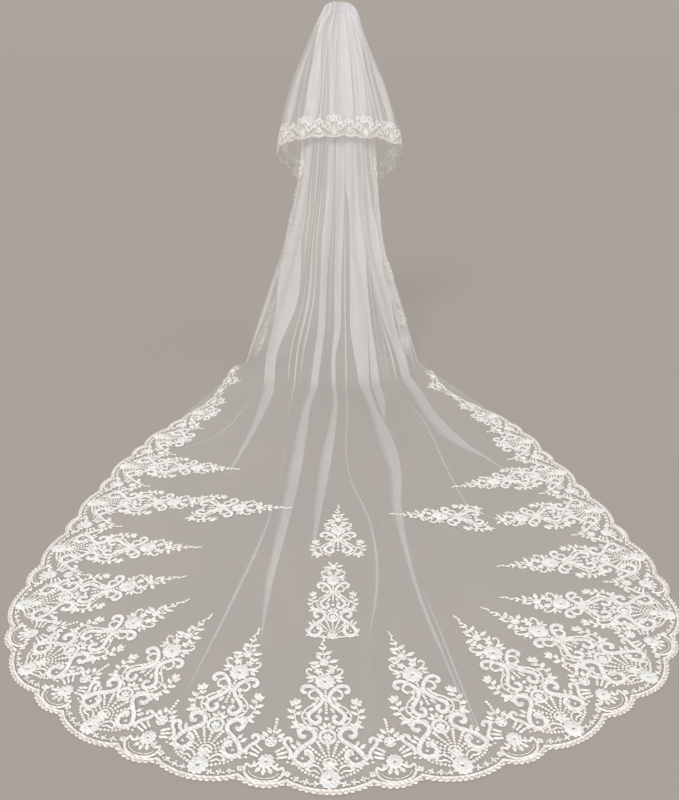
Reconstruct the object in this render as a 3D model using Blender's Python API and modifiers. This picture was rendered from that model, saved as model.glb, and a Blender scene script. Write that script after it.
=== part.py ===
# Two-tier bridal veil with a long train, in the shape it has when it is worn.
# Metres, +Z up. The origin is the seat of the hair comb, +Y is the way the wearer
# faces, and the train lies on the floor towards -Y.
from math import pi

import bmesh
import bpy
import numpy as np

MM = 0.001

# Driving dimensions
COMB_HEIGHT = 1.600  # comb seat above the floor
TULLE = 1.2 * MM  # wall that stands for one layer of tulle
LACE = 1.0 * MM  # wall of the corded lace
SEAM = 0.3 * MM  # gap between pieces that are sewn together
LIFT = 0.7 * MM  # gap under lace that follows a curved, faceted panel

COMB_WIDTH = 0.092
COMB_BAR = 0.009
COMB_TOOTH = 0.026
COMB_THICK = 1.4 * MM
COMB_TEETH = 13

BIG_LOBE = 0.169  # scallop under a tall lace tree, along the edge
SMALL_LOBE = 0.097  # scallop between two trees
REPEAT = BIG_LOBE + SMALL_LOBE
BIG_BULGE = 0.017
SMALL_BULGE = 0.010
EDGE_INSET = 0.005  # the tulle stops this far inside the lace's scallops
TREE_HEIGHT = 0.424
FULL_TREES = 7  # tall trees on each side of the middle one
SHORT_TREES = 9  # past the tall ones, short trees as far as this one
LAST_UNIT = 11  # last repeat of the floor lace on each side
END_UNITS = 3  # the trim's end piece reaches this tree on each side
LONG_TREE = 6  # the tree on each side that has a second motif beyond its tip

LOWER_FLUTES = 10
LOWER_COLUMNS = 60
UPPER_FLUTES = 8
UPPER_COLUMNS = 48

# The lower tier from the comb to the floor, one row for each section, top first.
# Heights are above the floor. A section is part of an ellipse seen from above:
# left and right are its widest places, back is its middle, side is the depth of
# the widest places, and wrap is how far round towards the front its edges go.
DROP_COLUMNS = ("height", "front", "left", "right", "back", "side", "wrap", "flute")
DROP_ROWS = (
    (1.6015, 1.6015, -0.044, 0.044, -0.003, -0.003, 0, 0.0010),
    (1.6180, 1.6130, -0.058, 0.056, -0.042, -0.018, 0, 0.0022),
    (1.5850, 1.5750, -0.076, 0.072, -0.088, -0.045, 4, 0.0036),
    (1.5000, 1.4900, -0.096, 0.088, -0.120, -0.070, 5, 0.0050),
    (1.3900, 1.3800, -0.118, 0.109, -0.136, -0.085, 5, 0.0062),
    (1.2700, 1.2600, -0.146, 0.134, -0.148, -0.092, 7, 0.0078),
    (1.1000, 1.0900, -0.168, 0.158, -0.163, -0.085, 10, 0.0105),
    (0.9200, 0.9100, -0.187, 0.170, -0.190, -0.075, 15, 0.0135),
    (0.7300, 0.7200, -0.227, 0.186, -0.220, -0.080, 20, 0.0160),
    (0.5600, 0.5500, -0.268, 0.212, -0.254, -0.095, 24, 0.0175),
    (0.4000, 0.3900, -0.324, 0.270, -0.294, -0.118, 27, 0.0180),
    (0.2400, 0.2300, -0.388, 0.325, -0.348, -0.150, 28, 0.0160),
    (0.1100, 0.1040, -0.434, 0.364, -0.412, -0.185, 28, 0.0110),
    (0.0300, 0.0270, -0.462, 0.388, -0.482, -0.216, 27, 0.0050),
    (0.0040, 0.0040, -0.472, 0.396, -0.540, -0.236, 26, 0.0010),
    (0.0000, 0.0000, -0.478, 0.402, -0.580, -0.246, 25, 0.0000),
)

# The upper tier, in the same columns. Its front corners hang lower than its back.
UPPER_ROWS = (
    (1.6052, 1.6052, -0.045, 0.045, -0.003, -0.003, 0, 0.0010),
    (1.6340, 1.6250, -0.062, 0.060, -0.048, -0.012, 0, 0.0020),
    (1.6020, 1.5780, -0.086, 0.081, -0.110, -0.030, 10, 0.0034),
    (1.5200, 1.5000, -0.120, 0.106, -0.146, -0.040, 25, 0.0050),
    (1.4200, 1.4000, -0.166, 0.150, -0.164, -0.035, 35, 0.0066),
    (1.3100, 1.2800, -0.220, 0.208, -0.178, -0.020, 45, 0.0080),
    (1.2000, 1.1300, -0.264, 0.254, -0.190, -0.008, 50, 0.0095),
    (1.1300, 0.9500, -0.289, 0.292, -0.201, 0.000, 50, 0.0110),
    (1.1080, 0.9000, -0.295, 0.299, -0.205, 0.000, 50, 0.0115),
    (1.0850, 0.8550, -0.299, 0.305, -0.209, 0.000, 50, 0.0120),
)

# The outline of the train on the floor, through the joints between its scallops:
# how far behind the comb, and how far left and right of it.
TRAIN_COLUMNS = ("behind", "left", "right")
TRAIN_ROWS = (
    (0.110, -0.464, 0.398),
    (0.250, -0.514, 0.440),
    (0.450, -0.538, 0.458),
    (0.660, -0.555, 0.511),
    (0.820, -0.596, 0.606),
    (0.980, -0.672, 0.699),
    (1.250, -0.763, 0.763),
    (1.550, -0.808, 0.822),
    (1.850, -0.833, 0.860),
    (2.080, -0.842, 0.873),
    (2.270, -0.806, 0.820),
    (2.420, -0.712, 0.716),
    (2.530, -0.588, 0.570),
    (2.630, -0.410, 0.385),
    (2.685, -0.195, 0.165),
)
TRAIN_END = (-0.018, -2.703)
TRAIN_START = 0.29  # the floor part starts this far behind the comb at its sides

# Pressed folds of the train, each three layers of tulle. A row is a place behind
# the comb, then how far right of the comb the fold's left and right edges are.
FOLDS = {
    "one": ((0.60, -0.350, -0.305), (0.95, -0.355, -0.325), (1.30, -0.388, -0.380)),
    "two": ((0.64, -0.152, -0.120), (1.09, -0.172, -0.130), (1.54, -0.184, -0.142),
            (1.85, -0.198, -0.166), (2.08, -0.200, -0.190)),
    "three": ((0.64, -0.034, -0.012), (0.99, -0.046, -0.012), (1.31, -0.070, -0.032),
              (1.60, -0.080, -0.056)),
    "four": ((0.63, 0.108, 0.165), (0.90, 0.130, 0.172), (1.14, 0.155, 0.210),
             (1.40, 0.178, 0.216), (1.61, 0.172, 0.202), (1.85, 0.186, 0.202),
             (2.05, 0.204, 0.212)),
    "five": ((0.62, 0.300, 0.338), (0.76, 0.332, 0.378), (0.90, 0.382, 0.422),
             (1.05, 0.446, 0.466)),
}
FOLD_HEIGHT = 3 * TULLE
FOLD_SHOULDER = 0.35  # the fold's top is this much of its height narrower

# One side of a lace tree: how far from its middle line, and how far in from the edge
TREE_SIDE = (
    (0.0845, 0.034), (0.079, 0.062), (0.070, 0.100), (0.046, 0.118),
    (0.066, 0.146), (0.076, 0.178), (0.052, 0.200), (0.038, 0.224),
    (0.058, 0.250), (0.050, 0.286), (0.027, 0.300), (0.034, 0.336),
    (0.013, 0.360), (0.007, 0.392),
)
TREE_TIP = (0.0, TREE_HEIGHT)
# Gaps between a tree's cords, on one side of its middle line
TREE_GAPS = (
    ((0.022, 0.030), (0.050, 0.026), (0.062, 0.058), (0.034, 0.080)),
    ((0.010, 0.132), (0.030, 0.127), (0.040, 0.156), (0.014, 0.168)),
    ((0.009, 0.186), (0.032, 0.182), (0.022, 0.220), (0.008, 0.214)),
    ((0.024, 0.262), (0.043, 0.256), (0.039, 0.278), (0.024, 0.283)),
)
SHORT_SIDE = ((0.0845, 0.034), (0.066, 0.066), (0.046, 0.084), (0.040, 0.112), (0.018, 0.128))
SHORT_TIP = (0.0, 0.160)
SHORT_GAPS = (TREE_GAPS[0],)
STRIP_SIDE = ((0.0845, 0.030), (0.050, 0.040))
STRIP_TIP = (0.0, 0.048)
SMALL_SIDE = ((0.0485, 0.034), (0.036, 0.064), (0.022, 0.090), (0.010, 0.104))
SMALL_TIP = (0.0, 0.134)
SMALL_GAPS = (((0.012, 0.010), (0.034, 0.014), (0.030, 0.040), (0.012, 0.044)),)

# Detached motifs on the train: the part of a tree that each one repeats
MIDDLE_X = -0.022
LOWER_MOTIF = {"from": 0.050, "to": 0.345, "foot": -2.272}
UPPER_MOTIF = {"from": 0.130, "to": TREE_HEIGHT, "foot": -1.940}
LONG_FROM = 0.430  # where the side motifs start, in from the edge
LONG_TO = {"left": 0.612, "right": 0.630}
LONG_SIDE = ((0.0, 0.0), (0.030, 0.10), (0.042, 0.30), (0.026, 0.45), (0.034, 0.60), (0.012, 0.80))
LONG_GAP = ((0.008, 0.16), (0.026, 0.20), (0.026, 0.32), (0.008, 0.36))

EDGE_TOP = 0.98  # the lace goes this high up the side edges of the lower tier
EDGE_FOOT = 0.020
EDGE_REPEATS = 4
EDGE_BULGES = (0.003, 0.013, 0.016, 0.016, 0.013, 0.003, 0.010, 0.010)
EDGE_STEPS = len(EDGE_BULGES)
FALL_FROM = 3  # from this section on, each section is lower than the one before

COLOURS = {
    "tulle": (0.80, 0.82, 0.86, 0.45),
    "lace": (0.90, 0.89, 0.87, 1.0),
    "comb": (0.72, 0.74, 0.76, 1.0),
}


def start_scene():
    for old in list(bpy.data.objects):
        bpy.data.objects.remove(old, do_unlink=True)
    veil = bpy.data.collections.new("bridal_veil")
    bpy.context.scene.collection.children.link(veil)
    return veil


def material(name, roughness, metallic=0.0):
    finish = bpy.data.materials.new(name)
    finish.use_nodes = True
    shader = finish.node_tree.nodes["Principled BSDF"]
    shader.inputs["Base Color"].default_value = COLOURS[name][:3] + (1.0,)
    shader.inputs["Alpha"].default_value = COLOURS[name][3]
    shader.inputs["Roughness"].default_value = roughness
    shader.inputs["Metallic"].default_value = metallic
    return finish


def flow(places, rows, at):
    """A smooth curve through the rows of a table, read at the given places."""
    places = np.asarray(places, float)
    rows = np.asarray(rows, float)
    at = np.clip(np.asarray(at, float), places[0], places[-1])
    slope = np.gradient(rows, places, axis=0)
    first = np.clip(np.searchsorted(places, at, side="right") - 1, 0, len(places) - 2)
    step = places[first + 1] - places[first]
    part = ((at - places[first]) / step)[..., None]
    step = step[..., None]
    near = 2 * part**3 - 3 * part**2 + 1
    leave = part**3 - 2 * part**2 + part
    arrive = part**3 - part**2
    return (
        near * rows[first]
        + leave * step * slope[first]
        + (1 - near) * rows[first + 1]
        + arrive * step * slope[first + 1]
    )


def unit(vectors):
    return vectors / np.maximum(np.linalg.norm(vectors, axis=-1, keepdims=True), 1e-12)


def ramp(value, low, high):
    part = np.clip((value - low) / (high - low), 0.0, 1.0)
    return part * part * (3 - 2 * part)


# The hanging tiers

def hanging_grid(table, columns, flutes):
    """Points of a hanging tier, a row for each section and a column for each
    place across it, with soft flutes that widen as they fall."""
    across = np.linspace(-1.0, 1.0, columns + 1)
    rows = np.asarray(table, float)
    height, front, left, right, back, side, wrap, flute = (
        rows[:, DROP_COLUMNS.index(name)][:, None] for name in DROP_COLUMNS
    )
    turn = across * (pi / 2 + np.radians(wrap))
    middle = (left + right) / 2
    half = (right - left) / 2
    points = np.stack(
        [
            middle + half * np.sin(turn),
            side + (back - side) * np.cos(turn),
            height + (front - height) * np.abs(across) ** 2.2 - COMB_HEIGHT,
        ],
        axis=-1,
    )
    down = np.gradient(points, axis=0)
    along = np.gradient(points, axis=1)
    outward = unit(np.cross(down, along))
    uneven = across + 0.035 * np.sin(3.3 * across + 0.7)
    edge_calm = 1 - 0.75 * ramp(np.abs(across), 0.82, 1.0)
    wave = np.cos(pi * flutes * uneven) * edge_calm * (0.8 + 0.2 * np.sin(5.1 * across + 1.3))
    return points + outward * (flute * wave[None, :])[..., None]


def sheet_object(name, grid, thickness, finish, home, keep=None):
    """An open sheet of quads through a grid of points, made a wall by Solidify.
    keep, where it is given, says which quads are there."""
    rows, columns = grid.shape[:2]
    faces = [
        (i * columns + j, (i + 1) * columns + j, (i + 1) * columns + j + 1, i * columns + j + 1)
        for i in range(rows - 1)
        for j in range(columns - 1)
        if keep is None or keep(i, j)
    ]
    used = sorted({corner for face in faces for corner in face})
    place = {old: new for new, old in enumerate(used)}
    mesh = bpy.data.meshes.new(name)
    mesh.from_pydata(
        grid.reshape(-1, 3)[used].tolist(),
        [],
        [tuple(place[corner] for corner in face) for face in faces],
    )
    mesh.materials.append(finish)
    piece = bpy.data.objects.new(name, mesh)
    home.objects.link(piece)
    wall = piece.modifiers.new("wall", "SOLIDIFY")
    wall.thickness = thickness
    wall.offset = 1.0
    return piece


def outward_normals(piece, shape):
    mesh = piece.data
    normals = np.empty(len(mesh.vertices) * 3)
    mesh.vertex_normals.foreach_get("vector", normals)
    return normals.reshape(shape)


def between(values, place):
    """Reads a list of points at a place that may lie between two of them."""
    first = int(min(max(np.floor(place), 0), len(values) - 2))
    part = place - first
    return values[first] * (1 - part) + values[first + 1] * part


def upper_lace(grid, normals, finish, home):
    """Lace along the upper tier's hem: the hem's own points moved out, with
    scallops past the hem and small tips and gaps on its inner side."""
    top = grid + normals * (TULLE + LIFT)
    hem, above, inner = top[-1], top[-2], top[-3]
    fall = unit(hem - above)
    columns = len(hem)
    scallop = np.array([0.014 if j % 3 else 0.004 for j in range(columns)])[:, None]
    rows = np.stack([inner, (inner + above) / 2, above, hem, hem + fall * scallop])

    def keep(row, column):
        if row == 0:
            return column % 6 in (2, 3)
        if row == 2:
            return column % 3 != 1 or column in (0, columns - 2)
        return True

    return sheet_object("upper_lace", rows, LACE, finish, home, keep)


def edge_lace(name, grid, normals, side, finish, home):
    """Lace up one side edge of the lower tier, made from the edge's own points."""
    top = grid + normals * (TULLE + LIFT)
    lines = [top[:, column] for column in ((0, 1, 2) if side < 0 else (-1, -2, -3))]
    heights = lines[0][FALL_FROM:, 2] + COMB_HEIGHT
    rows = np.arange(FALL_FROM, len(grid))
    first, last = np.interp([-EDGE_TOP, -EDGE_FOOT], -heights, rows)
    count = EDGE_REPEATS * EDGE_STEPS
    strip = []
    for step in range(count + 1):
        place = first + (last - first) * step / count
        edge, second, third = (between(line, place) for line in lines)
        bulge = EDGE_BULGES[step % EDGE_STEPS]
        strip.append([edge + unit(edge - second) * bulge, edge, second, third])
    points = np.array(strip) if side < 0 else np.array(strip)[:, ::-1]

    def keep(row, column):
        across = column if side < 0 else 2 - column
        if across == 2:
            return row % EDGE_STEPS in (2, 3)
        if across == 1:
            return row % 4 != 1
        return True

    return sheet_object(name, points, LACE, finish, home, keep)


# The train on the floor

def train_curve():
    """The outline as a function of the distance along it from the train's end,
    positive to the right: a point, the way along and the way inwards."""
    table = [dict(zip(TRAIN_COLUMNS, row)) for row in TRAIN_ROWS]
    knots = [(row["left"], -row["behind"]) for row in table]
    knots += [TRAIN_END]
    knots += [(row["right"], -row["behind"]) for row in reversed(table)]
    knots = np.array(knots)
    chord = np.r_[0, np.cumsum(np.linalg.norm(np.diff(knots, axis=0), axis=1))]
    fine = flow(chord, knots, np.linspace(0, chord[-1], 1601))
    length = np.r_[0, np.cumsum(np.linalg.norm(np.diff(fine, axis=0), axis=1))]
    end = length[np.argmin(np.linalg.norm(fine - np.array(TRAIN_END), axis=1))]
    soft = np.ones(81) / 81
    padded = np.pad(unit(np.gradient(fine, axis=0)), ((40, 40), (0, 0)), mode="edge")
    heading = np.stack([np.convolve(padded[:, k], soft, "valid") for k in (0, 1)], axis=1)

    def at(along):
        place = np.clip(along + end, 0, length[-1])
        point = np.array([np.interp(place, length, fine[:, k]) for k in (0, 1)])
        way = unit(np.array([np.interp(place, length, heading[:, k]) for k in (0, 1)]))
        return point, way, np.array([-way[1], way[0]])

    return at


def on_train(at, centre, across, inward):
    """A point of a lace unit. Near the edge it follows the outline, and further
    in it keeps to the unit's own straight middle line."""
    point, _, inwards = at(centre + across)
    curved = point + inwards * inward
    point, way, inwards = at(centre)
    straight = point + inwards * inward + way * across
    part = ramp(inward, 0.03, 0.10)
    return tuple(curved * (1 - part) + straight * part)


LOBES = {"big": (BIG_LOBE, BIG_BULGE, 5), "small": (SMALL_LOBE, SMALL_BULGE, 3)}


def lobe(kind, inset=0.0):
    """A scallop's points from its left joint up to, not including, its right one."""
    width, bulge, steps = LOBES[kind]
    return [
        (width * (k / steps - 0.5), inset - bulge * np.sin(pi * k / steps) ** 0.7)
        for k in range(steps)
    ]


def scallops():
    """Every scallop of the floor lace from left to right: kind, number, centre."""
    rows = []
    for number in range(-LAST_UNIT, LAST_UNIT + 1):
        rows.append(("big", number, number * REPEAT))
        if number < LAST_UNIT:
            rows.append(("small", number, (number + 0.5) * REPEAT))
    return rows


def tree_shape(kind, number):
    if kind == "small":
        return SMALL_SIDE, SMALL_TIP, SMALL_GAPS
    if abs(number) <= FULL_TREES:
        return TREE_SIDE, TREE_TIP, TREE_GAPS
    if abs(number) <= SHORT_TREES:
        return SHORT_SIDE, SHORT_TIP, SHORT_GAPS
    return STRIP_SIDE, STRIP_TIP, ()


def flat_object(name, outlines, low, high, finish, home):
    """A flat plate from its outline and the outlines of its gaps."""
    curve = bpy.data.curves.new(name, "CURVE")
    curve.dimensions = "2D"
    curve.fill_mode = "BOTH"
    curve.extrude = (high - low) / 2
    for outline in outlines:
        spline = curve.splines.new("POLY")
        spline.points.add(len(outline) - 1)
        for knot, (x, y) in zip(spline.points, outline):
            knot.co = (x, y, 0.0, 1.0)
        spline.use_cyclic_u = True
    curve.materials.append(finish)
    piece = bpy.data.objects.new(name, curve)
    piece.location.z = (low + high) / 2 - COMB_HEIGHT
    home.objects.link(piece)
    return piece


def as_mesh(piece, home):
    """The same flat plate as a closed mesh, ready for a Boolean modifier."""
    bpy.context.view_layer.update()
    graph = bpy.context.evaluated_depsgraph_get()
    mesh = bpy.data.meshes.new_from_object(piece.evaluated_get(graph))
    work = bmesh.new()
    work.from_mesh(mesh)
    bmesh.ops.remove_doubles(work, verts=work.verts, dist=0.01 * MM)
    work.to_mesh(mesh)
    work.free()
    name = piece.name
    place = piece.matrix_world.copy()
    bpy.data.objects.remove(piece, do_unlink=True)
    solid = bpy.data.objects.new(name, mesh)
    solid.matrix_world = place
    home.objects.link(solid)
    return solid


def mirrored(gap):
    return [(-across, inward) for across, inward in reversed(gap)]


def hem_lace(name, at, part, finish, home):
    """One length of the floor trim: scallops outside, trees inside, gaps cut."""
    first, last = part[0], part[-1]
    half_first = LOBES[first[0]][0] / 2 - SEAM / 2
    half_last = LOBES[last[0]][0] / 2 - SEAM / 2
    low = TULLE + SEAM
    edge = [on_train(at, first[2], -half_first, 0.0)]
    for kind, number, centre in part:
        points = lobe(kind)[1:] if (kind, number, centre) == first else lobe(kind)
        edge += [on_train(at, centre, across, inward) for across, inward in points]
    edge.append(on_train(at, last[2], half_last, 0.0))
    joint = TREE_SIDE[0][1]
    edge.append(on_train(at, last[2], half_last, joint))
    gaps = []
    for kind, number, centre in reversed(part):
        side, tip, holes = tree_shape(kind, number)
        points = list(side[1:]) + [tip] + [(-across, inward) for across, inward in side[::-1]]
        if (kind, number, centre) == first:
            points = points[:-1]
        edge += [on_train(at, centre, across, inward) for across, inward in points]
        for hole in holes:
            for gap in (hole, mirrored(hole)):
                gaps.append([on_train(at, centre, across, inward) for across, inward in gap])
    edge.append(on_train(at, first[2], -half_first, joint))
    return flat_object(name, [edge] + gaps, low, low + LACE, finish, home)


def motif_outline(motif):
    """The part of a tree between two distances from the edge, closed at its foot."""
    side = [p for p in TREE_SIDE if motif["from"] < p[1] < motif["to"]]
    side = [(0.75 * side[0][0], motif["from"])] + side
    tip = (0.0, motif["to"])
    return side + [tip] + [(-across, inward) for across, inward in side[::-1]]


def middle_motif(name, motif, finish, home):
    """A detached tree motif on the train's middle line."""
    def on_floor(points):
        return [(MIDDLE_X + a, motif["foot"] + b - motif["from"]) for a, b in points]

    room = 0.006
    gaps = [
        on_floor(gap)
        for hole in TREE_GAPS
        if motif["from"] + room < min(b for _, b in hole)
        and max(b for _, b in hole) < motif["to"] - room
        for gap in (hole, mirrored(hole))
    ]
    low = TULLE + SEAM
    return flat_object(name, [on_floor(motif_outline(motif))] + gaps, low, low + LACE, finish, home)


def long_motif(name, at, number, reach, finish, home):
    """The second motif beyond the tip of a tree at the train's side."""
    length = reach - LONG_FROM

    def on_floor(points):
        return [
            on_train(at, number * REPEAT, across, LONG_FROM + length * share)
            for across, share in points
        ]

    side = list(LONG_SIDE[1:])
    outline = [LONG_SIDE[0]] + side + [(0.0, 1.0)] + [(-a, b) for a, b in side[::-1]]
    gaps = [on_floor(LONG_GAP), on_floor(mirrored(LONG_GAP))]
    low = TULLE + SEAM
    return flat_object(name, [on_floor(outline)] + gaps, low, low + LACE, finish, home)


def fold_ridge(name, rows, home):
    """A pressed fold: a low ridge with sloping sides along its two edges."""
    table = np.array(rows)
    places = np.linspace(table[0, 0], table[-1, 0], 2 * (len(table) - 1) + 1)
    line = flow(table[:, 0], table[:, 1:], places)
    inside = 0.5 * TULLE - COMB_HEIGHT
    top = FOLD_HEIGHT - COMB_HEIGHT
    points = []
    for behind, (left, right) in zip(places, line):
        shoulder = min(FOLD_SHOULDER * FOLD_HEIGHT, 0.3 * (right - left))
        points += [
            (left, -behind, inside),
            (left + shoulder, -behind, top),
            (right - shoulder, -behind, top),
            (right, -behind, inside),
        ]
    last = len(points) - 4
    faces = [(0, 1, 2, 3), (last + 3, last + 2, last + 1, last)]
    for start in range(0, last, 4):
        for k in range(4):
            here, after = start + k, start + (k + 1) % 4
            faces.append((here, here + 4, after + 4, after))
    mesh = bpy.data.meshes.new(name)
    mesh.from_pydata(points, [], faces)
    ridge = bpy.data.objects.new(name, mesh)
    ridge.hide_render = True
    ridge.display_type = "WIRE"
    home.objects.link(ridge)
    return ridge


def train_tulle(at, touch, lean, finish, home, tools):
    """The tulle on the floor, from the line where the hanging part touches down
    to just inside the lace's scallops, with its pressed folds raised."""
    heading = unit(np.gradient(touch, axis=0))
    away = np.stack([heading[:, 1], -heading[:, 0]], axis=1)
    overhang = TULLE * np.maximum((lean * away).sum(axis=1, keepdims=True), 0)
    seam = touch + away * (overhang + SEAM)
    rows = scallops()
    places = [(centre + a, b) for kind, _, centre in rows for a, b in lobe(kind, EDGE_INSET)]
    last = rows[-1][2] + BIG_LOBE / 2
    places.append((last, EDGE_INSET))
    outline = [tuple(at(s)[0] + at(s)[2] * inward) for s, inward in places]
    outline += [tuple(point) for point in seam[::-1] if point[1] < -TRAIN_START]
    plate = as_mesh(flat_object("train_tulle", [outline], 0.0, TULLE, finish, home), home)
    for name, rows in FOLDS.items():
        join = plate.modifiers.new("fold_" + name, "BOOLEAN")
        join.operation = "UNION"
        join.solver = "EXACT"
        join.object = fold_ridge("fold_" + name, rows, tools)
    return plate


# The comb

def comb(finish, home):
    """A flat hair comb: a bar with tapered teeth that point forwards."""
    half = COMB_WIDTH / 2
    pitch = (COMB_WIDTH - 0.004) / (COMB_TEETH - 1)
    root, tip = 0.0013, 0.0006
    outline = [(-half, -COMB_BAR), (half, -COMB_BAR)]
    for k in reversed(range(COMB_TEETH)):
        middle = -half + 0.002 + k * pitch
        length = COMB_TOOTH * (0.9 + 0.1 * np.cos(pi * (k / (COMB_TEETH - 1) - 0.5)))
        outline += [
            (middle + root, 0.0),
            (middle + tip, length),
            (middle - tip, length),
            (middle - root, 0.0),
        ]
    low = COMB_HEIGHT - COMB_THICK
    return flat_object("comb", [outline], low, COMB_HEIGHT, finish, home)


def main():
    veil = start_scene()
    tools = bpy.data.collections.new("cutters")
    bpy.context.scene.collection.children.link(tools)
    tulle = material("tulle", 0.75)
    lace = material("lace", 0.6)
    metal = material("comb", 0.25, 1.0)

    comb(metal, veil)

    lower = hanging_grid(DROP_ROWS, LOWER_COLUMNS, LOWER_FLUTES)
    drop = sheet_object("drop_tulle", lower, TULLE, tulle, veil)
    lower_out = outward_normals(drop, lower.shape)
    edge_lace("left_edge_lace", lower, lower_out, -1, lace, veil)
    edge_lace("right_edge_lace", lower, lower_out, 1, lace, veil)

    upper = hanging_grid(UPPER_ROWS, UPPER_COLUMNS, UPPER_FLUTES)
    short = sheet_object("upper_tulle", upper, TULLE, tulle, veil)
    upper_lace(upper, outward_normals(short, upper.shape), lace, veil)

    at = train_curve()
    train_tulle(at, lower[-1, :, :2], lower_out[-1, :, :2], tulle, veil, tools)
    border = END_UNITS * REPEAT + BIG_LOBE / 2
    rows = scallops()
    hem_lace("hem_lace_left", at, [row for row in rows if row[2] < -border], lace, veil)
    hem_lace("hem_lace_end", at, [row for row in rows if abs(row[2]) < border], lace, veil)
    hem_lace("hem_lace_right", at, [row for row in rows if row[2] > border], lace, veil)
    middle_motif("motif_middle_upper", UPPER_MOTIF, lace, veil)
    middle_motif("motif_middle_lower", LOWER_MOTIF, lace, veil)
    long_motif("motif_left", at, -LONG_TREE, LONG_TO["left"], lace, veil)
    long_motif("motif_right", at, LONG_TREE, LONG_TO["right"], lace, veil)


main()
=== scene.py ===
# %% [markdown]
# A bridal veil in two tiers, seen from behind, with a lace-edged train spread on the
# floor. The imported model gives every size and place. This script keeps that frame and
# adds what a plain solid can't have: tulle that can be seen through, pleats that make
# it whiter where it lies in layers, and corded lace. Lengths are in metres, the comb
# that holds the veil is at the origin, and the floor is 1.6 m below it.

# %% Load the frame
from math import cos, pi, radians, sin

import bpy
import numpy as np
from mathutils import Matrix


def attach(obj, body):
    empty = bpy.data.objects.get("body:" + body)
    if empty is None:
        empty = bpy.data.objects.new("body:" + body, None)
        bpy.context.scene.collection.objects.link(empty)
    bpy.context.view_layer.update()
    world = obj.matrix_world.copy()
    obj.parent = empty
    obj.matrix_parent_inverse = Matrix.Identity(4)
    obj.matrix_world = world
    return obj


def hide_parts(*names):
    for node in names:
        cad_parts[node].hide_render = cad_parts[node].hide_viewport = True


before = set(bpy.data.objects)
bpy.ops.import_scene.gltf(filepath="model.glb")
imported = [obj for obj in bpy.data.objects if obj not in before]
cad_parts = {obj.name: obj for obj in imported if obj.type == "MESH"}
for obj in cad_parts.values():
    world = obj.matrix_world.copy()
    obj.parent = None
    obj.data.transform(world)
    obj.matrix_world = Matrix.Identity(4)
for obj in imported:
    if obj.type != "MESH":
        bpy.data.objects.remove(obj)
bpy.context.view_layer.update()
bpy.ops.object.select_all(action="DESELECT")

MM = 0.001
COMB_HEIGHT = 1.600  # comb seat above the floor
FLOOR = -COMB_HEIGHT

# %% [markdown]
# Small tools first. A colour is written as the hex value that an eyedropper would give
# and turned to the linear numbers that Blender works in. One function adds a shader
# node with its settings and links, so that each finish below reads as a short list.
# Another makes an object from points, faces and the finish of each face.


# %% Colours, nodes and pieces
def colour(hex_value):
    parts = [int(hex_value[k : k + 2], 16) / 255 for k in (1, 3, 5)]
    linear = [c / 12.92 if c <= 0.04045 else ((c + 0.055) / 1.055) ** 2.4 for c in parts]
    return (*linear, 1.0)


def add_node(tree, kind, settings=None, links=None, **values):
    """Adds a node. settings are its properties, links and values its inputs. The
    setting shades gives the places and colours of a colour ramp's two ends."""
    node = tree.nodes.new(kind)
    settings = dict(settings or {})
    for end, (place, hex_value) in enumerate(settings.pop("shades", ())):
        node.color_ramp.elements[end].position = place
        node.color_ramp.elements[end].color = colour(hex_value)
    for name, value in settings.items():
        setattr(node, name, value)
    for name, value in values.items():
        node.inputs[name.replace("_", " ")].default_value = value
    for name, socket in (links or {}).items():
        tree.links.new(socket, node.inputs[name])
    return node


def new_finish(name):
    finish = bpy.data.materials.new(name)
    finish.use_nodes = True
    return finish, finish.node_tree, finish.node_tree.nodes["Principled BSDF"]


def new_piece(name, points, faces, finishes, finish_of=None):
    mesh = bpy.data.meshes.new(name)
    mesh.from_pydata(points.tolist(), [], faces)
    for finish in finishes:
        mesh.materials.append(finish)
    if finish_of is not None:
        mesh.polygons.foreach_set("material_index", np.array(finish_of, np.int32))
    mesh.shade_smooth()
    piece = bpy.data.objects.new(name, mesh)
    bpy.context.scene.collection.objects.link(piece)
    print(name, "has", sum(len(face) - 2 for face in faces), "triangles")
    return piece


def joined(parts):
    """Parts, each its points and its faces, as one list of points and one of faces."""
    points, faces, start = [], [], 0
    for placed, shape in parts:
        points.append(placed)
        faces += [[start + corner for corner in face] for face in shape]
        start += len(placed)
    return np.vstack(points), faces


# %% [markdown]
# Bridal tulle is a knitted net of fine polyester or nylon threads, with hexagonal holes
# about 1 mm across, so most of what is behind it shows through. One layer is nearly
# clear, and it turns white only where layers lie on each other. A plain low alpha gives
# that, because each layer of the pleats adds its own share of white. Near the comb the
# cloth is drawn up to a tenth of its width, in gathers finer than this mesh, so its
# finish there is denser, and it thins out in steps down to the flat train. The net is
# far too fine for this picture, so the nodes draw it as a coarser weave, 5 mm wide, that
# only shifts the colour and the bump a little.

# %% Tulle
NET_DRAWN = 5.0 * MM


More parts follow.
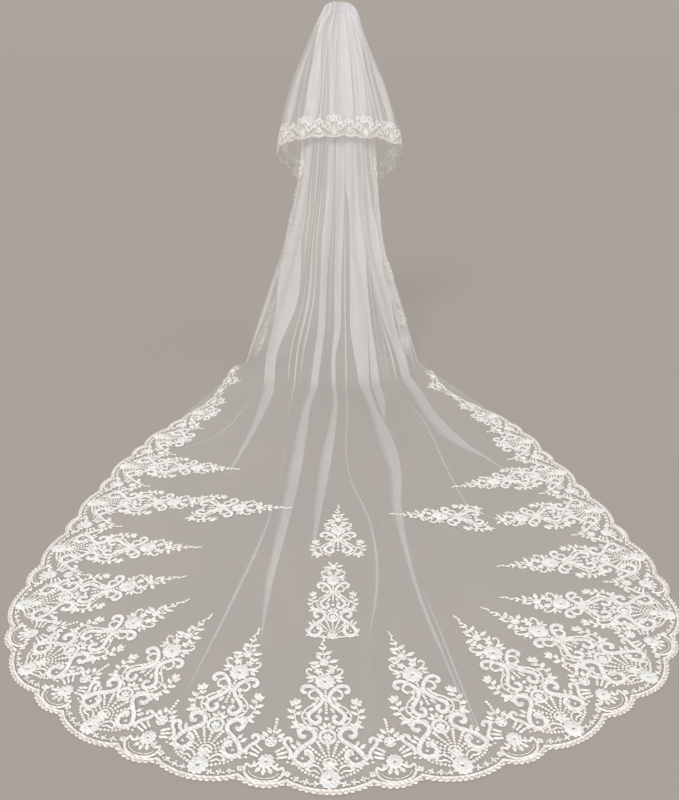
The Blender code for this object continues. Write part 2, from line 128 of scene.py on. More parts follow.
def tulle_finish(name, alpha):
    finish, tree, shader = new_finish(name)
    place = add_node(tree, "ShaderNodeUVMap", {"uv_map": "cut"})
    net = add_node(
        tree, "ShaderNodeTexVoronoi", {"feature": "DISTANCE_TO_EDGE", "voronoi_dimensions": "2D"},
        {"Vector": place.outputs["UV"]}, Scale=1 / NET_DRAWN, Randomness=0.35,
    )
    cloudy = add_node(
        tree, "ShaderNodeTexNoise", None, {"Vector": place.outputs["UV"]},
        Scale=3.5, Detail=3.0, Roughness=0.55,
    )
    shade = add_node(
        tree, "ShaderNodeValToRGB", {"shades": ((0.35, "#f1f4f9"), (0.68, "#ffffff"))},
        {"Fac": cloudy.outputs["Fac"]},
    )
    bump = add_node(
        tree, "ShaderNodeBump", None, {"Height": net.outputs["Distance"]},
        Strength=0.25, Distance=0.4 * MM,
    )
    tree.links.new(shade.outputs["Color"], shader.inputs["Base Color"])
    tree.links.new(bump.outputs["Normal"], shader.inputs["Normal"])
    shader.inputs["Roughness"].default_value = 0.62
    shader.inputs["Alpha"].default_value = alpha
    shader.inputs["Sheen Weight"].default_value = 0.25
    return finish


GATHERED_DENSITY = 0.26  # share of the light that one gathered layer stops
TRAIN_DENSITY = 0.11  # the same for one flat layer
DENSITY_STEPS = 12
FOLD_DENSITY_STEP = 1  # the lightest finish that a pleat's hidden layer takes
TULLE_DENSITIES = np.linspace(GATHERED_DENSITY, TRAIN_DENSITY, DENSITY_STEPS)
tulle_finishes = [
    tulle_finish(f"nylon_tulle_{k}", round(float(density), 3))
    for k, density in enumerate(TULLE_DENSITIES)
]
print("tulle densities", [round(float(density), 3) for density in TULLE_DENSITIES])

# %% [markdown]
# The lace is corded Alencon work: a thick polyester cord is stitched down along every
# line, so the cords stand up and are a warm, slightly pink white. The roses and petals
# are filled with shiny rayon thread, which looks whiter and colder. The outermost
# border is a plain net picot, greyer than either. The cord's twist, 1 mm a turn, is too
# fine for this picture, so it is drawn as an uneven wave of 8 to 16 mm that breaks up
# the light. The same wave also darkens the colour where its bump is low, which is a painted
# shade in the grooves between the turns, and noise adds uneven patches of the thread's
# own tone. A wave texture of scale 1 repeats every pi / 5 units along an axis.


# %% Lace threads
def thread_finish(name, groove_shade_and_tone, light, roughness, pitch, depth, sheen):
    finish, tree, shader = new_finish(name)
    place = add_node(tree, "ShaderNodeTexCoord")
    twist = add_node(
        tree, "ShaderNodeTexWave", {"wave_type": "BANDS", "bands_direction": "DIAGONAL"},
        {"Vector": place.outputs["Object"]},
        Scale=pi / (5 * pitch), Distortion=3.0, Detail=2.0, Detail_Scale=1.5,
    )
    patch = add_node(
        tree, "ShaderNodeTexNoise", None, {"Vector": place.outputs["Object"]},
        Scale=70.0, Detail=4.0, Roughness=0.65,
    )
    mixed = add_node(
        tree, "ShaderNodeMath", {"operation": "MULTIPLY_ADD"},
        {0: twist.outputs["Fac"], 2: patch.outputs["Fac"]},
    )
    mixed.inputs[1].default_value = 0.35
    # Colour: the dark end is painted shade in the twist's low grooves, mixed with random darker patches
    # of the thread's own tone.
    shade = add_node(
        tree, "ShaderNodeValToRGB", {"shades": ((0.42, groove_shade_and_tone), (0.80, light))},
        {"Fac": mixed.outputs["Value"]},
    )
    bump = add_node(
        tree, "ShaderNodeBump", None, {"Height": twist.outputs["Fac"]},
        Strength=0.6, Distance=depth,
    )
    tree.links.new(shade.outputs["Color"], shader.inputs["Base Color"])
    tree.links.new(bump.outputs["Normal"], shader.inputs["Normal"])
    shader.inputs["Roughness"].default_value = roughness
    shader.inputs["Sheen Weight"].default_value = sheen
    return finish


cord_thread = thread_finish("polyester_lace_cord", "#d9d0c8", "#fffdfb", 0.55, 11.84 * MM, 0.4 * MM, 0.2)
rayon_thread = thread_finish("rayon_satin_thread", "#d3dde4", "#ffffff", 0.38, 7.89 * MM, 0.35 * MM, 0.1)
picot_net = thread_finish("picot_net", "#d6cfc8", "#fbf8f5", 0.65, 15.78 * MM, 0.5 * MM, 0.2)
picot_net.node_tree.nodes["Principled BSDF"].inputs["Alpha"].default_value = 0.72
LACE_FINISHES = (cord_thread, rayon_thread, picot_net)
CORD, SATIN, PICOT = 0, 1, 2

# %% [markdown]
# Curves and blends that every piece uses. The veil is described by a few sections, and
# a smooth curve runs through them, the same curve that made the solids, so that the
# cloth lies on its solid.


# %% Curves and blends
def unit(vectors):
    return vectors / np.maximum(np.linalg.norm(vectors, axis=-1, keepdims=True), 1e-12)


def ramp(value, low, high):
    part = np.clip((value - low) / (high - low), 0.0, 1.0)
    return part * part * (3 - 2 * part)


def along_line(line):
    return np.r_[0, np.cumsum(np.linalg.norm(np.diff(line, axis=0), axis=1))]


def flow(places, rows, at):
    """A smooth curve through the rows of a table, read at the given places."""
    places = np.asarray(places, float)
    rows = np.asarray(rows, float)
    at = np.clip(np.asarray(at, float), places[0], places[-1])
    slope = np.gradient(rows, places, axis=0)
    first = np.clip(np.searchsorted(places, at, side="right") - 1, 0, len(places) - 2)
    step = places[first + 1] - places[first]
    part = ((at - places[first]) / step)[..., None]
    step = step[..., None]
    near = 2 * part**3 - 3 * part**2 + 1
    leave = part**3 - 2 * part**2 + part
    arrive = part**3 - part**2
    return (
        near * rows[first]
        + leave * step * slope[first]
        + (1 - near) * rows[first + 1]
        + arrive * step * slope[first + 1]
    )


# %% [markdown]
# The long tier hangs from the comb to the floor as part of an ellipse that widens as it
# falls. Each row below is one section: height above the floor at the back and at the
# front edges, the widest places left and right, how far back the middle is, the depth
# of the widest places, how many degrees the edges wrap round to the front, and the
# depth of the soft flutes.

# %% Long tier, sections
LONG_SECTIONS = (
    (1.6015, 1.6015, -0.044, 0.044, -0.003, -0.003, 0, 0.0010),
    (1.6180, 1.6130, -0.058, 0.056, -0.042, -0.018, 0, 0.0022),
    (1.5850, 1.5750, -0.076, 0.072, -0.088, -0.045, 4, 0.0036),
    (1.5000, 1.4900, -0.096, 0.088, -0.120, -0.070, 5, 0.0050),
    (1.3900, 1.3800, -0.118, 0.109, -0.136, -0.085, 5, 0.0062),
    (1.2700, 1.2600, -0.146, 0.134, -0.148, -0.092, 7, 0.0078),
    (1.1000, 1.0900, -0.168, 0.158, -0.163, -0.085, 10, 0.0105),
    (0.9200, 0.9100, -0.187, 0.170, -0.190, -0.075, 15, 0.0135),
    (0.7300, 0.7200, -0.227, 0.186, -0.220, -0.080, 20, 0.0160),
    (0.5600, 0.5500, -0.268, 0.212, -0.254, -0.095, 24, 0.0175),
    (0.4000, 0.3900, -0.324, 0.270, -0.294, -0.118, 27, 0.0180),
    (0.2400, 0.2300, -0.388, 0.325, -0.348, -0.150, 28, 0.0160),
    (0.1100, 0.1040, -0.434, 0.364, -0.412, -0.185, 28, 0.0110),
    (0.0300, 0.0270, -0.462, 0.388, -0.482, -0.216, 27, 0.0050),
    (0.0040, 0.0040, -0.472, 0.396, -0.540, -0.236, 26, 0.0010),
    (0.0000, 0.0000, -0.478, 0.402, -0.580, -0.246, 25, 0.0000),
)
LONG_FLUTES = 10
SAMPLES = 801  # places across each row where the smooth surface is worked out
ACROSS = np.linspace(-1.0, 1.0, SAMPLES)  # from the left edge to the right


def hanging_rows(sections, places):
    """The smooth surface of a hanging tier, with no flutes: a row for each place."""
    values = flow(np.arange(len(sections)), sections, places)
    height, front, left, right, back, side, wrap, flute = (values[:, k][:, None] for k in range(8))
    turn = ACROSS * (pi / 2 + np.radians(wrap))
    x = (left + right) / 2 + (right - left) / 2 * np.sin(turn)
    y = side + (back - side) * np.cos(turn)
    z = height + (front - height) * np.abs(ACROSS) ** 2.2 - COMB_HEIGHT
    return np.stack([x, y, z], axis=-1), flute, np.abs(turn) < pi / 2


def outward(grid):
    return unit(np.cross(np.gradient(grid, axis=0), np.gradient(grid, axis=1)))


def flute_wave(flutes):
    """Soft flutes of uneven width and depth that calm down towards the edges."""
    uneven = ACROSS + 0.035 * np.sin(3.3 * ACROSS + 0.7)
    edge_calm = 1 - 0.75 * ramp(np.abs(ACROSS), 0.82, 1.0)
    return np.cos(pi * flutes * uneven) * edge_calm * (0.8 + 0.2 * np.sin(5.1 * ACROSS + 1.3))


# %% [markdown]
# On the floor the same cloth fans out from the line where it touches down to the
# scalloped border. The border's outline runs through the joints between its scallops,
# measured from the photograph with the camera's own perspective.

# %% Train, outline
TRAIN_ROWS = (
    (0.110, -0.464, 0.398),
    (0.250, -0.514, 0.440),
    (0.450, -0.538, 0.458),
    (0.660, -0.555, 0.511),
    (0.820, -0.596, 0.606),
    (0.980, -0.672, 0.699),
    (1.250, -0.763, 0.763),
    (1.550, -0.808, 0.822),
    (1.850, -0.833, 0.860),
    (2.080, -0.842, 0.873),
    (2.270, -0.806, 0.820),
    (2.420, -0.712, 0.716),
    (2.530, -0.588, 0.570),
    (2.630, -0.410, 0.385),
    (2.685, -0.195, 0.165),
)
TRAIN_END = (-0.018, -2.703)
BIG_LOBE = 0.169
SMALL_LOBE = 0.097
REPEAT = BIG_LOBE + SMALL_LOBE
BULGE = {"big": 0.020, "small": 0.015}


def train_curve():
    """The outline by distance along it from the train's end, to the right: a point,
    the way along and the way inwards."""
    left_side = [(left, -behind) for behind, left, right in TRAIN_ROWS]
    right_side = [(right, -behind) for behind, left, right in TRAIN_ROWS]
    knots = np.array(left_side + [TRAIN_END] + right_side[::-1])
    chord = along_line(knots)
    fine = flow(chord, knots, np.linspace(0, chord[-1], 1601))
    length = along_line(fine)
    end = length[np.argmin(np.linalg.norm(fine - np.array(TRAIN_END), axis=1))]
    soft = np.ones(81) / 81
    padded = np.pad(unit(np.gradient(fine, axis=0)), ((40, 40), (0, 0)), mode="edge")
    heading = np.stack([np.convolve(padded[:, k], soft, "valid") for k in (0, 1)], axis=1)

    def at(along):
        place = np.clip(np.asarray(along, float) + end, 0, length[-1])
        point = np.stack([np.interp(place, length, fine[:, k]) for k in (0, 1)], axis=-1)
        way = unit(np.stack([np.interp(place, length, heading[:, k]) for k in (0, 1)], axis=-1))
        return point, way, np.stack([-way[..., 1], way[..., 0]], axis=-1)

    return at


outline_at = train_curve()


def bulge_at(along):
    """How far the border stands out past the line through its joints."""
    within = np.mod(np.asarray(along) + BIG_LOBE / 2, REPEAT)
    big = BULGE["big"] * np.abs(np.sin(pi * np.clip(within / BIG_LOBE, 0, 1))) ** 0.7
    rest = np.clip((within - BIG_LOBE) / SMALL_LOBE, 0, 1)
    return big + BULGE["small"] * np.abs(np.sin(pi * rest)) ** 0.7


# %% [markdown]
# How the cloth fans out: each row pairs a place across the hanging tier, from -1 at its
# left edge to 1 at its right, with the place along the border where that thread ends.

# %% Train, surface
FAN = (
    (-1.0, -3.01), (-0.9, -2.52), (-0.8, -2.06), (-0.6, -1.32), (-0.4, -0.78), (-0.2, -0.34),
    (0.0, 0.0),
    (0.2, 0.34), (0.4, 0.78), (0.6, 1.32), (0.8, 2.06), (0.9, 2.52), (1.0, 3.01),
)
BORDER_INSET = 0.008  # the tulle ends under the border's cord
HANGING_STEPS = 90
FLOOR_STEPS = 88


def long_tier_grid():
    places = np.linspace(0, len(LONG_SECTIONS) - 1, HANGING_STEPS + 1)
    hanging, flute, seen = hanging_rows(LONG_SECTIONS, places)
    fan = np.array(FAN)
    along = flow(fan[:, 0], fan[:, 1:], ACROSS)[:, 0]
    point, _, inwards = outline_at(along)
    finish = point + inwards * (BORDER_INSET - bulge_at(along))[:, None]
    target = point + inwards * BORDER_INSET
    share = np.linspace(0, 1, FLOOR_STEPS + 1)[1:, None, None]
    start = hanging[-1, :, :2]
    flat = start + (target - start) * share + (finish - target) * share**14
    floor_rows = np.concatenate([flat, np.full(flat.shape[:2] + (1,), FLOOR)], axis=-1)
    grid = np.concatenate([hanging, floor_rows])
    depth = np.concatenate([flute, np.zeros((FLOOR_STEPS, 1))])
    beyond = flat[..., 1] - start[None, :, 1]
    marks = np.concatenate([hanging[..., 2] + COMB_HEIGHT, beyond])
    inside = np.concatenate([seen, np.repeat(seen[-1:], FLOOR_STEPS, axis=0)])
    return grid, depth, marks, inside


long_grid, long_flute, long_marks, long_seen = long_tier_grid()
print("long tier surface", long_grid.shape)

# %% [markdown]
# The pleats. Hanging tulle falls in flat folds that go back on themselves, so the cloth
# lies three deep along each fold and looks whiter there. Six of them start at the comb,
# run down and stay as pressed bands on the train, and four more are thin creases. A row
# gives the height above the floor, or the distance behind the comb where it is
# negative, and where the fold's left and right edges are across the veil.

# %% Long tier, pleats
LONG_PLEATS = {
    "crease_far_left": (
        (1.6, -0.0452, -0.045), (1.27, -0.1404, -0.1402), (0.6, -0.2472, -0.247),
        (0.09, -0.3595, -0.359), (-0.62, -0.38, -0.3795), (-0.72, -0.405, -0.4),
        (-0.95, -0.505, -0.498), (-1.1, -0.61, -0.604), (-1.16, -0.66, -0.6595),
    ),
    "one": (
        (1.6, -0.044, -0.033), (1.5, -0.092, -0.064), (1.27, -0.139, -0.098), (1.1, -0.16, -0.115),
        (0.88, -0.184, -0.136), (0.74, -0.211, -0.151), (0.6, -0.245, -0.176),
        (0.46, -0.28, -0.187), (0.33, -0.307, -0.205), (0.2, -0.331, -0.258), (0.09, -0.357, -0.3),
        (-0.6, -0.35, -0.3), (-0.95, -0.357, -0.328), (-1.3, -0.388, -0.38),
        (-1.38, -0.392, -0.3915),
    ),
    "crease_left": (
        (1.6, -0.022, -0.02), (1.27, -0.066, -0.06), (0.88, -0.098, -0.088), (0.6, -0.128, -0.118),
        (0.35, -0.15, -0.139), (0.1, -0.205, -0.196), (-0.8, -0.216, -0.212),
        (-1.6, -0.214, -0.212), (-1.76, -0.232, -0.222), (-2.1, -0.285, -0.275),
        (-2.45, -0.35, -0.3495),
    ),
    "two": (
        (1.6, -0.012, -0.003), (1.5, -0.027, -0.01), (1.27, -0.04, -0.016), (1.1, -0.048, -0.02),
        (0.88, -0.06, -0.024), (0.75, -0.07, -0.033), (0.62, -0.085, -0.042), (0.48, -0.09, -0.056),
        (0.35, -0.097, -0.062), (0.21, -0.106, -0.07), (0.1, -0.122, -0.086),
        (-0.72, -0.152, -0.12), (-1.09, -0.171, -0.13), (-1.47, -0.182, -0.14),
        (-1.73, -0.191, -0.157), (-2.05, -0.2, -0.181), (-2.29, -0.191, -0.1905),
    ),
    "three": (
        (1.6, -0.001, 0.006), (1.5, -0.006, 0.014), (1.27, -0.01, 0.02), (1.1, -0.014, 0.022),
        (0.88, -0.019, 0.023), (0.75, -0.019, 0.021), (0.62, -0.02, 0.018), (0.48, -0.024, 0.01),
        (0.35, -0.025, 0.008), (0.21, -0.026, 0.004), (0.1, -0.038, -0.018), (-0.66, -0.03, -0.01),
        (-0.94, -0.04, -0.012), (-1.31, -0.07, -0.03), (-1.61, -0.08, -0.052),
        (-1.85, -0.082, -0.07), (-1.95, -0.08, -0.0795),
    ),
    "crease_middle": (
        (1.6, 0.0072, 0.0076), (0.88, 0.0245, 0.0255), (0.35, 0.024, 0.03), (0.1, 0.028, 0.034),
        (-0.8, 0.03, 0.036), (-1.45, 0.036, 0.04), (-1.76, 0.093, 0.101), (-2.05, 0.097, 0.106),
        (-2.29, 0.07, 0.0705),
    ),
    "four": (
        (1.6, 0.009, 0.022), (1.5, 0.018, 0.038), (1.27, 0.023, 0.056), (1.1, 0.025, 0.07),
        (0.88, 0.028, 0.084), (0.75, 0.042, 0.094), (0.62, 0.047, 0.11), (0.48, 0.048, 0.124),
        (0.35, 0.049, 0.134), (0.21, 0.052, 0.136), (0.1, 0.071, 0.138), (-0.62, 0.104, 0.143),
        (-0.9, 0.136, 0.172), (-1.14, 0.153, 0.21), (-1.4, 0.178, 0.218), (-1.61, 0.17, 0.202),
        (-1.85, 0.184, 0.201), (-2.05, 0.202, 0.213), (-2.31, 0.246, 0.252), (-2.54, 0.294, 0.2945),
    ),
    "four_beside": (
        (1.6, 0.0224, 0.023), (1.27, 0.057, 0.059), (0.88, 0.086, 0.089), (0.62, 0.112, 0.115),
        (0.48, 0.125, 0.129), (0.35, 0.135, 0.142), (0.21, 0.14, 0.158), (0.1, 0.144, 0.176),
        (-0.6, 0.154, 0.195), (-0.74, 0.168, 0.2), (-0.88, 0.178, 0.19), (-0.95, 0.184, 0.1845),
        (-1.14, 0.213, 0.2135), (-1.4, 0.222, 0.2225), (-1.61, 0.207, 0.2075),
        (-1.85, 0.206, 0.2065), (-2.05, 0.223, 0.224), (-2.2, 0.246, 0.25), (-2.36, 0.268, 0.273),
        (-2.54, 0.3, 0.3005),
    ),
    "crease_right": (
        (1.6, 0.0238, 0.024), (1.27, 0.0638, 0.064), (0.6, 0.1258, 0.1262), (0.09, 0.22, 0.221),
        (-0.66, 0.27, 0.2705), (-0.8, 0.33, 0.334), (-1.0, 0.36, 0.366), (-1.2, 0.378, 0.384),
        (-1.42, 0.41, 0.415), (-1.55, 0.435, 0.4355),
    ),
    "five": (
        (1.6, 0.026, 0.036), (1.5, 0.046, 0.062), (1.27, 0.07, 0.094), (1.1, 0.088, 0.116),
        (0.88, 0.103, 0.136), (0.75, 0.113, 0.155), (0.61, 0.129, 0.18), (0.48, 0.149, 0.206),
        (0.33, 0.184, 0.25), (0.2, 0.223, 0.278), (0.09, 0.272, 0.316), (-0.58, 0.325, 0.372),
        (-0.75, 0.355, 0.405), (-0.9, 0.4, 0.455), (-1.05, 0.47, 0.505), (-1.14, 0.53, 0.545),
        (-1.24, 0.58, 0.586), (-1.36, 0.63, 0.636), (-1.42, 0.66, 0.6605),
    ),
}


def touch_depth(x):
    """How far behind the comb the cloth touches the floor, at a place across."""
    _, _, left, right, back, side, _, _ = LONG_SECTIONS[-1]
    part = np.clip((x - (left + right) / 2) / ((right - left) / 2), -0.99, 0.99)
    return side + (back - side) * np.sqrt(1 - part**2)


def pleat_lines(rows):
    """A pleat's table with its floor rows measured from where the cloth touches down,
    lowest first, as the smooth curve wants it."""
    lines = []
    for mark, left, right in rows:
        if mark < 0:
            mark = mark - touch_depth((left + right) / 2)
        lines.append((mark, left, right))
    lines.sort()
    return np.array(lines)


def edges_across(grid, marks, seen, lines):
    """For each row of the surface, where across it a pleat's two edges lie."""
    found = np.empty((len(grid), 2))
    for row in range(len(grid)):
        here = seen[row]
        wanted = flow(lines[:, 0], lines[:, 1:], marks[row, here])
        for side in (0, 1):
            gap = np.maximum.accumulate(grid[row, here, 0] - wanted[:, side])
            found[row, side] = np.interp(0.0, gap + 1e-9 * np.arange(len(gap)), ACROSS[here])
    return found


# %% [markdown]
# Making the sheet. Along each row the cloth goes forward to a pleat's far edge, back
# under itself to the near edge, and forward again, so the sheet stays one continuous
# piece of cloth. The three layers are a few millimetres apart while they hang and about
# one on the floor.


# %% Pleated sheets
BACKWARD = 4  # columns of a pleat's hidden layer
PLEAT_RISE = 0.03  # the cloth starts to lift this far before a pleat
SWAY_DEPTH, SWAY_RATE, SWAY_END = 0.05, 0.9, 16  # how thin pleats wander on the way down
FINISH_WAVES = ((0.9, 0.13, 0.0), (0.6, 0.41, 2.0))  # depth in finishes, turn a column, start
SHARPEST_FOLD = radians(50)


def pleated(grid, normals, edges, gap, forward):
    """Rows of points of one sheet. edges has, row by row, each pleat's left and right
    edge across the surface, and gap the space between its layers."""
    rows, count = edges.shape[:2]
    spacing = np.linalg.norm(np.diff(grid, axis=1), axis=2)
    length = np.concatenate([np.zeros((rows, 1)), np.cumsum(spacing, axis=1)], axis=1)
    points = np.empty((rows, sum(forward) + BACKWARD * count, 3))
    for row in range(rows):
        place, lift = [], []
        start, last_right = -1.0, -1.0
        for k in range(count):
            left, right = edges[row, k]
            run = np.linspace(start, right, forward[k] + 1)[:-1]
            metres, at_left, at_last = (
                np.interp(at, ACROSS, length[row]) for at in (run, left, last_right)
            )
            rise = max(at_left - PLEAT_RISE, min(at_last, at_left - 1e-4))
            part = np.linspace(0, 1, BACKWARD + 1)[:-1]
            place += [run, np.linspace(right, left, BACKWARD + 1)[:-1]]
            lift.append(2 * gap[row] * ramp(metres, rise, at_left + 1e-6))
            lift.append(gap[row] * (2 - 2 * part))
            start, last_right = left, right
        place = np.concatenate(place + [np.linspace(start, 1.0, forward[-1])])
        lift = np.concatenate(lift + [np.zeros(forward[-1])])
        for k in range(3):
            points[row, :, k] = np.interp(place, ACROSS, grid[row, :, k])
            points[row, :, k] += lift * np.interp(place, ACROSS, normals[row, :, k])
    return points


def with_thin_pleats(edges, places, table):
    """Adds thin pleats between the wide ones. A row of the table says how many wide
    pleats lie left of it, where in that space it stands, its share of the space, and
    the places down the veil between which it closes."""
    rows, count = edges.shape[:2]
    before = np.concatenate([-np.ones((rows, 1)), edges[:, :, 1]], axis=1)
    after = np.concatenate([edges[:, :, 0], np.ones((rows, 1))], axis=1)
    found = []
    for space in range(count + 1):
        low = before[:, space]
        room = np.maximum(after[:, space] - low, 1e-4)
        for where, stand, share, close_from, close_to in table:
            if where != space:
                continue
            sway = SWAY_DEPTH * np.sin(
                SWAY_RATE * np.minimum(places, SWAY_END) + 9 * stand + space
            )
            middle = low + room * (stand + sway)
            half = 0.5 * room * share * (1 - ramp(places, close_from, close_to)) + 1e-4
            found.append(np.stack([middle - half, middle + half], axis=1))
        if space < count:
            found.append(edges[:, space])
    return np.stack(found, axis=1)


def columns_for(edges, per_unit):
    """How many columns each forward run needs, from its mean width."""
    start = np.concatenate([-np.ones((len(edges), 1)), edges[:, :, 0]], axis=1)
    end = np.concatenate([edges[:, :, 1], np.ones((len(edges), 1))], axis=1)
    return [max(4, int(np.ceil(width * per_unit))) for width in (end - start).mean(axis=0)]


def sheet_piece(name, points, density, forward):
    """One sheet of quads with a UV map in metres of cloth, named cut. density goes from
    0, gathered, to 1, flat, down the rows, and the finishes change along a wavy line.
    The hidden layer of each pleat stays denser, for the small creases inside it."""
    rows, columns = points.shape[:2]
    column = np.arange(columns - 1)[None, :]
    wave = sum(depth * np.sin(rate * column + start) for depth, rate, start in FINISH_WAVES)
    finish_of = density[:-1, None] * (DENSITY_STEPS - 1) + 0.5 * wave * np.sign(density[:-1, None])
    finish_of = np.clip(np.round(finish_of), 0, DENSITY_STEPS - 1).astype(np.int32)
    after = np.cumsum(np.array(forward[:-1]) + BACKWARD)
    hidden = (after[:, None] - 1 - np.arange(BACKWARD)).ravel()
    finish_of[:, hidden] = np.minimum(finish_of[:, hidden], FOLD_DENSITY_STEP)
    corner = np.arange(rows * columns).reshape(rows, columns)
    quads = np.stack([corner[:-1, :-1], corner[1:, :-1], corner[1:, 1:], corner[:-1, 1:]], axis=-1)
    flat_quads = quads.reshape(-1, 4).tolist()
    piece = new_piece(name, points.reshape(-1, 3), flat_quads, tulle_finishes, finish_of.ravel())
    mesh = piece.data
    mesh.set_sharp_from_angle(angle=SHARPEST_FOLD)
    across = np.linalg.norm(np.diff(points, axis=1), axis=2)
    down = np.linalg.norm(np.diff(points, axis=0), axis=2)
    u = np.r_[0, np.cumsum(across.mean(axis=0))]
    v = np.r_[0, np.cumsum(down.mean(axis=1))]
    spread = np.stack(np.meshgrid(u, -v), axis=-1).reshape(-1, 2)
    layer = mesh.uv_layers.new(name="cut")
    loops = np.empty(len(mesh.loops), int)
    mesh.loops.foreach_get("vertex_index", loops)
    layer.data.foreach_set("uv", spread[loops].ravel())
    print(name, "has", round(sum(face.area for face in mesh.polygons), 2), "square metres")
    return piece


# %% [markdown]
# The long tier, from the comb to the border. Fine gathers at the comb fade out within
# about 30 cm, where the pleats take over.

# %% Long tier
GATHERS = 27
GATHER_DEPTH = 3.2 * MM
ON_FLOOR = 99.0  # the place of every row on the floor, past all the hanging sections


def gathers(places, fade):
    """Small ripples where the cloth is drawn up on the comb."""
    ripple = np.cos(pi * GATHERS * (ACROSS + 0.02 * np.sin(7 * ACROSS)))
    grow = ramp(places, -0.5, 1.2) * (1 - ramp(places, 1.2, fade))
    return GATHER_DEPTH * grow[:, None] * ripple[None, :]


def fluted(grid, flute, flutes, places, fade):
    """The surface's outward directions, and the surface with its flutes and gathers."""
    normals = outward(grid)
    depth = flute * flute_wave(flutes)[None, :] + gathers(places, fade)
    return normals, grid + normals * depth[..., None]


def all_edges(grid, marks, seen, places, pleats, thin):
    wide = [edges_across(grid, marks, seen, pleat_lines(rows)) for rows in pleats.values()]
    return with_thin_pleats(np.stack(wide, axis=1), places, thin)


LONG_THIN = (
    (0, 0.30, 0.10, 8.0, 15.0), (0, 0.55, 0.10, 10.0, 15.5), (0, 0.80, 0.10, 6.0, 14.0),
    (2, 0.30, 0.14, 7.0, 13.0), (2, 0.68, 0.16, 10.0, 15.0),
    (3, 0.35, 0.16, 9.0, 15.0), (3, 0.72, 0.14, 5.0, 11.0),
    (4, 0.50, 0.20, 7.0, 13.0),
    (6, 0.45, 0.20, 4.0, 9.0),
    (8, 0.50, 0.20, 6.0, 12.0), (9, 0.50, 0.20, 10.0, 15.5),
    (10, 0.22, 0.10, 7.0, 14.0), (10, 0.45, 0.10, 10.0, 15.5), (10, 0.72, 0.10, 8.0, 15.0),
)
LONG_COLUMNS = 118  # columns for each unit across, where the veil is 2 units wide
FLOOR_GAP, HANGING_GAP = 0.6 * MM, 1.6 * MM  # between layers, the second on top of the first
LANDING, LANDING_RUN = 15, 5  # by this section the layers are close, from this many before it
long_places = np.linspace(0, len(LONG_SECTIONS) - 1, HANGING_STEPS + 1)
long_places = np.r_[long_places, np.full(FLOOR_STEPS, ON_FLOOR)]
long_normals, long_form = fluted(long_grid, 0.75 * long_flute, LONG_FLUTES, long_places, 5.0)
long_edges = all_edges(long_grid, long_marks, long_seen, long_places, LONG_PLEATS, LONG_THIN)
long_gap = FLOOR_GAP + HANGING_GAP * ramp(LANDING - long_places, 0, LANDING_RUN)
long_gap = long_gap * ramp(long_places, -1.5, 2.0)
long_forward = columns_for(long_edges, LONG_COLUMNS)
long_points = pleated(long_form, long_normals, long_edges, long_gap, long_forward)
long_points[..., 2] = np.maximum(long_points[..., 2], FLOOR + 0.3 * MM)
long_density = ramp(long_places, 2.0, 16.0)
long_tier = sheet_piece("long_tier_tulle", long_points, long_density, long_forward)

# %% [markdown]
# The short tier hangs half a metre down behind. It is held by the same comb, wraps
# further round to the front, and hangs lower there than behind. It has its own table
# of sections, in the same columns, and pleats that nearly close at its hem.

# %% Short tier
SHORT_SECTIONS = (
    (1.6052, 1.6052, -0.045, 0.045, -0.003, -0.003, 0, 0.0010),
    (1.6340, 1.6120, -0.060, 0.058, -0.048, -0.012, 0, 0.0020),
    (1.6020, 1.5640, -0.086, 0.081, -0.110, -0.030, 10, 0.0034),
    (1.5200, 1.5000, -0.120, 0.106, -0.146, -0.040, 25, 0.0050),
    (1.4200, 1.4000, -0.166, 0.150, -0.164, -0.035, 35, 0.0066),
    (1.3100, 1.2800, -0.220, 0.208, -0.178, -0.020, 45, 0.0080),
    (1.2000, 1.1300, -0.264, 0.254, -0.190, -0.008, 50, 0.0095),
    (1.1300, 0.9500, -0.289, 0.292, -0.201, 0.000, 50, 0.0110),
    (1.1080, 0.9000, -0.295, 0.299, -0.205, 0.000, 50, 0.0115),
    (1.0850, 0.8550, -0.299, 0.305, -0.209, 0.000, 50, 0.0120),
)
SHORT_FLUTES = 8
SHORT_STEPS = 84
SHORT_PLEATS = {
    "far_left": (
        (1.6, -0.05, -0.048), (1.52, -0.098, -0.094), (1.44, -0.139, -0.127),
        (1.32, -0.191, -0.174), (1.19, -0.232, -0.21), (1.11, -0.245, -0.238),
    ),
    "left": (
        (1.6, -0.046, -0.034), (1.52, -0.092, -0.068), (1.44, -0.116, -0.078),
        (1.36, -0.13, -0.082), (1.27, -0.139, -0.086), (1.19, -0.14, -0.099), (1.11, -0.12, -0.118),
    ),
    "middle_left": (
        (1.6, -0.024, -0.014), (1.52, -0.048, -0.031), (1.44, -0.049, -0.026),
        (1.36, -0.049, -0.025), (1.27, -0.045, -0.022), (1.19, -0.045, -0.025),
        (1.11, -0.038, -0.036),
    ),
    "middle_right": (
        (1.6, 0.002, 0.016), (1.52, 0.004, 0.031), (1.44, 0.004, 0.04), (1.36, 0.008, 0.048),
        (1.27, 0.01, 0.057), (1.19, 0.014, 0.062), (1.11, 0.04, 0.042),
    ),
    "right": (
        (1.6, 0.02, 0.03), (1.52, 0.044, 0.062), (1.44, 0.061, 0.08), (1.36, 0.075, 0.093),
        (1.27, 0.086, 0.107), (1.19, 0.092, 0.114), (1.11, 0.105, 0.107),
    ),
    "far_right": (
        (1.6, 0.044, 0.046), (1.52, 0.084, 0.09), (1.44, 0.118, 0.129), (1.32, 0.163, 0.18),
        (1.19, 0.211, 0.232), (1.11, 0.24, 0.246),
    ),
}
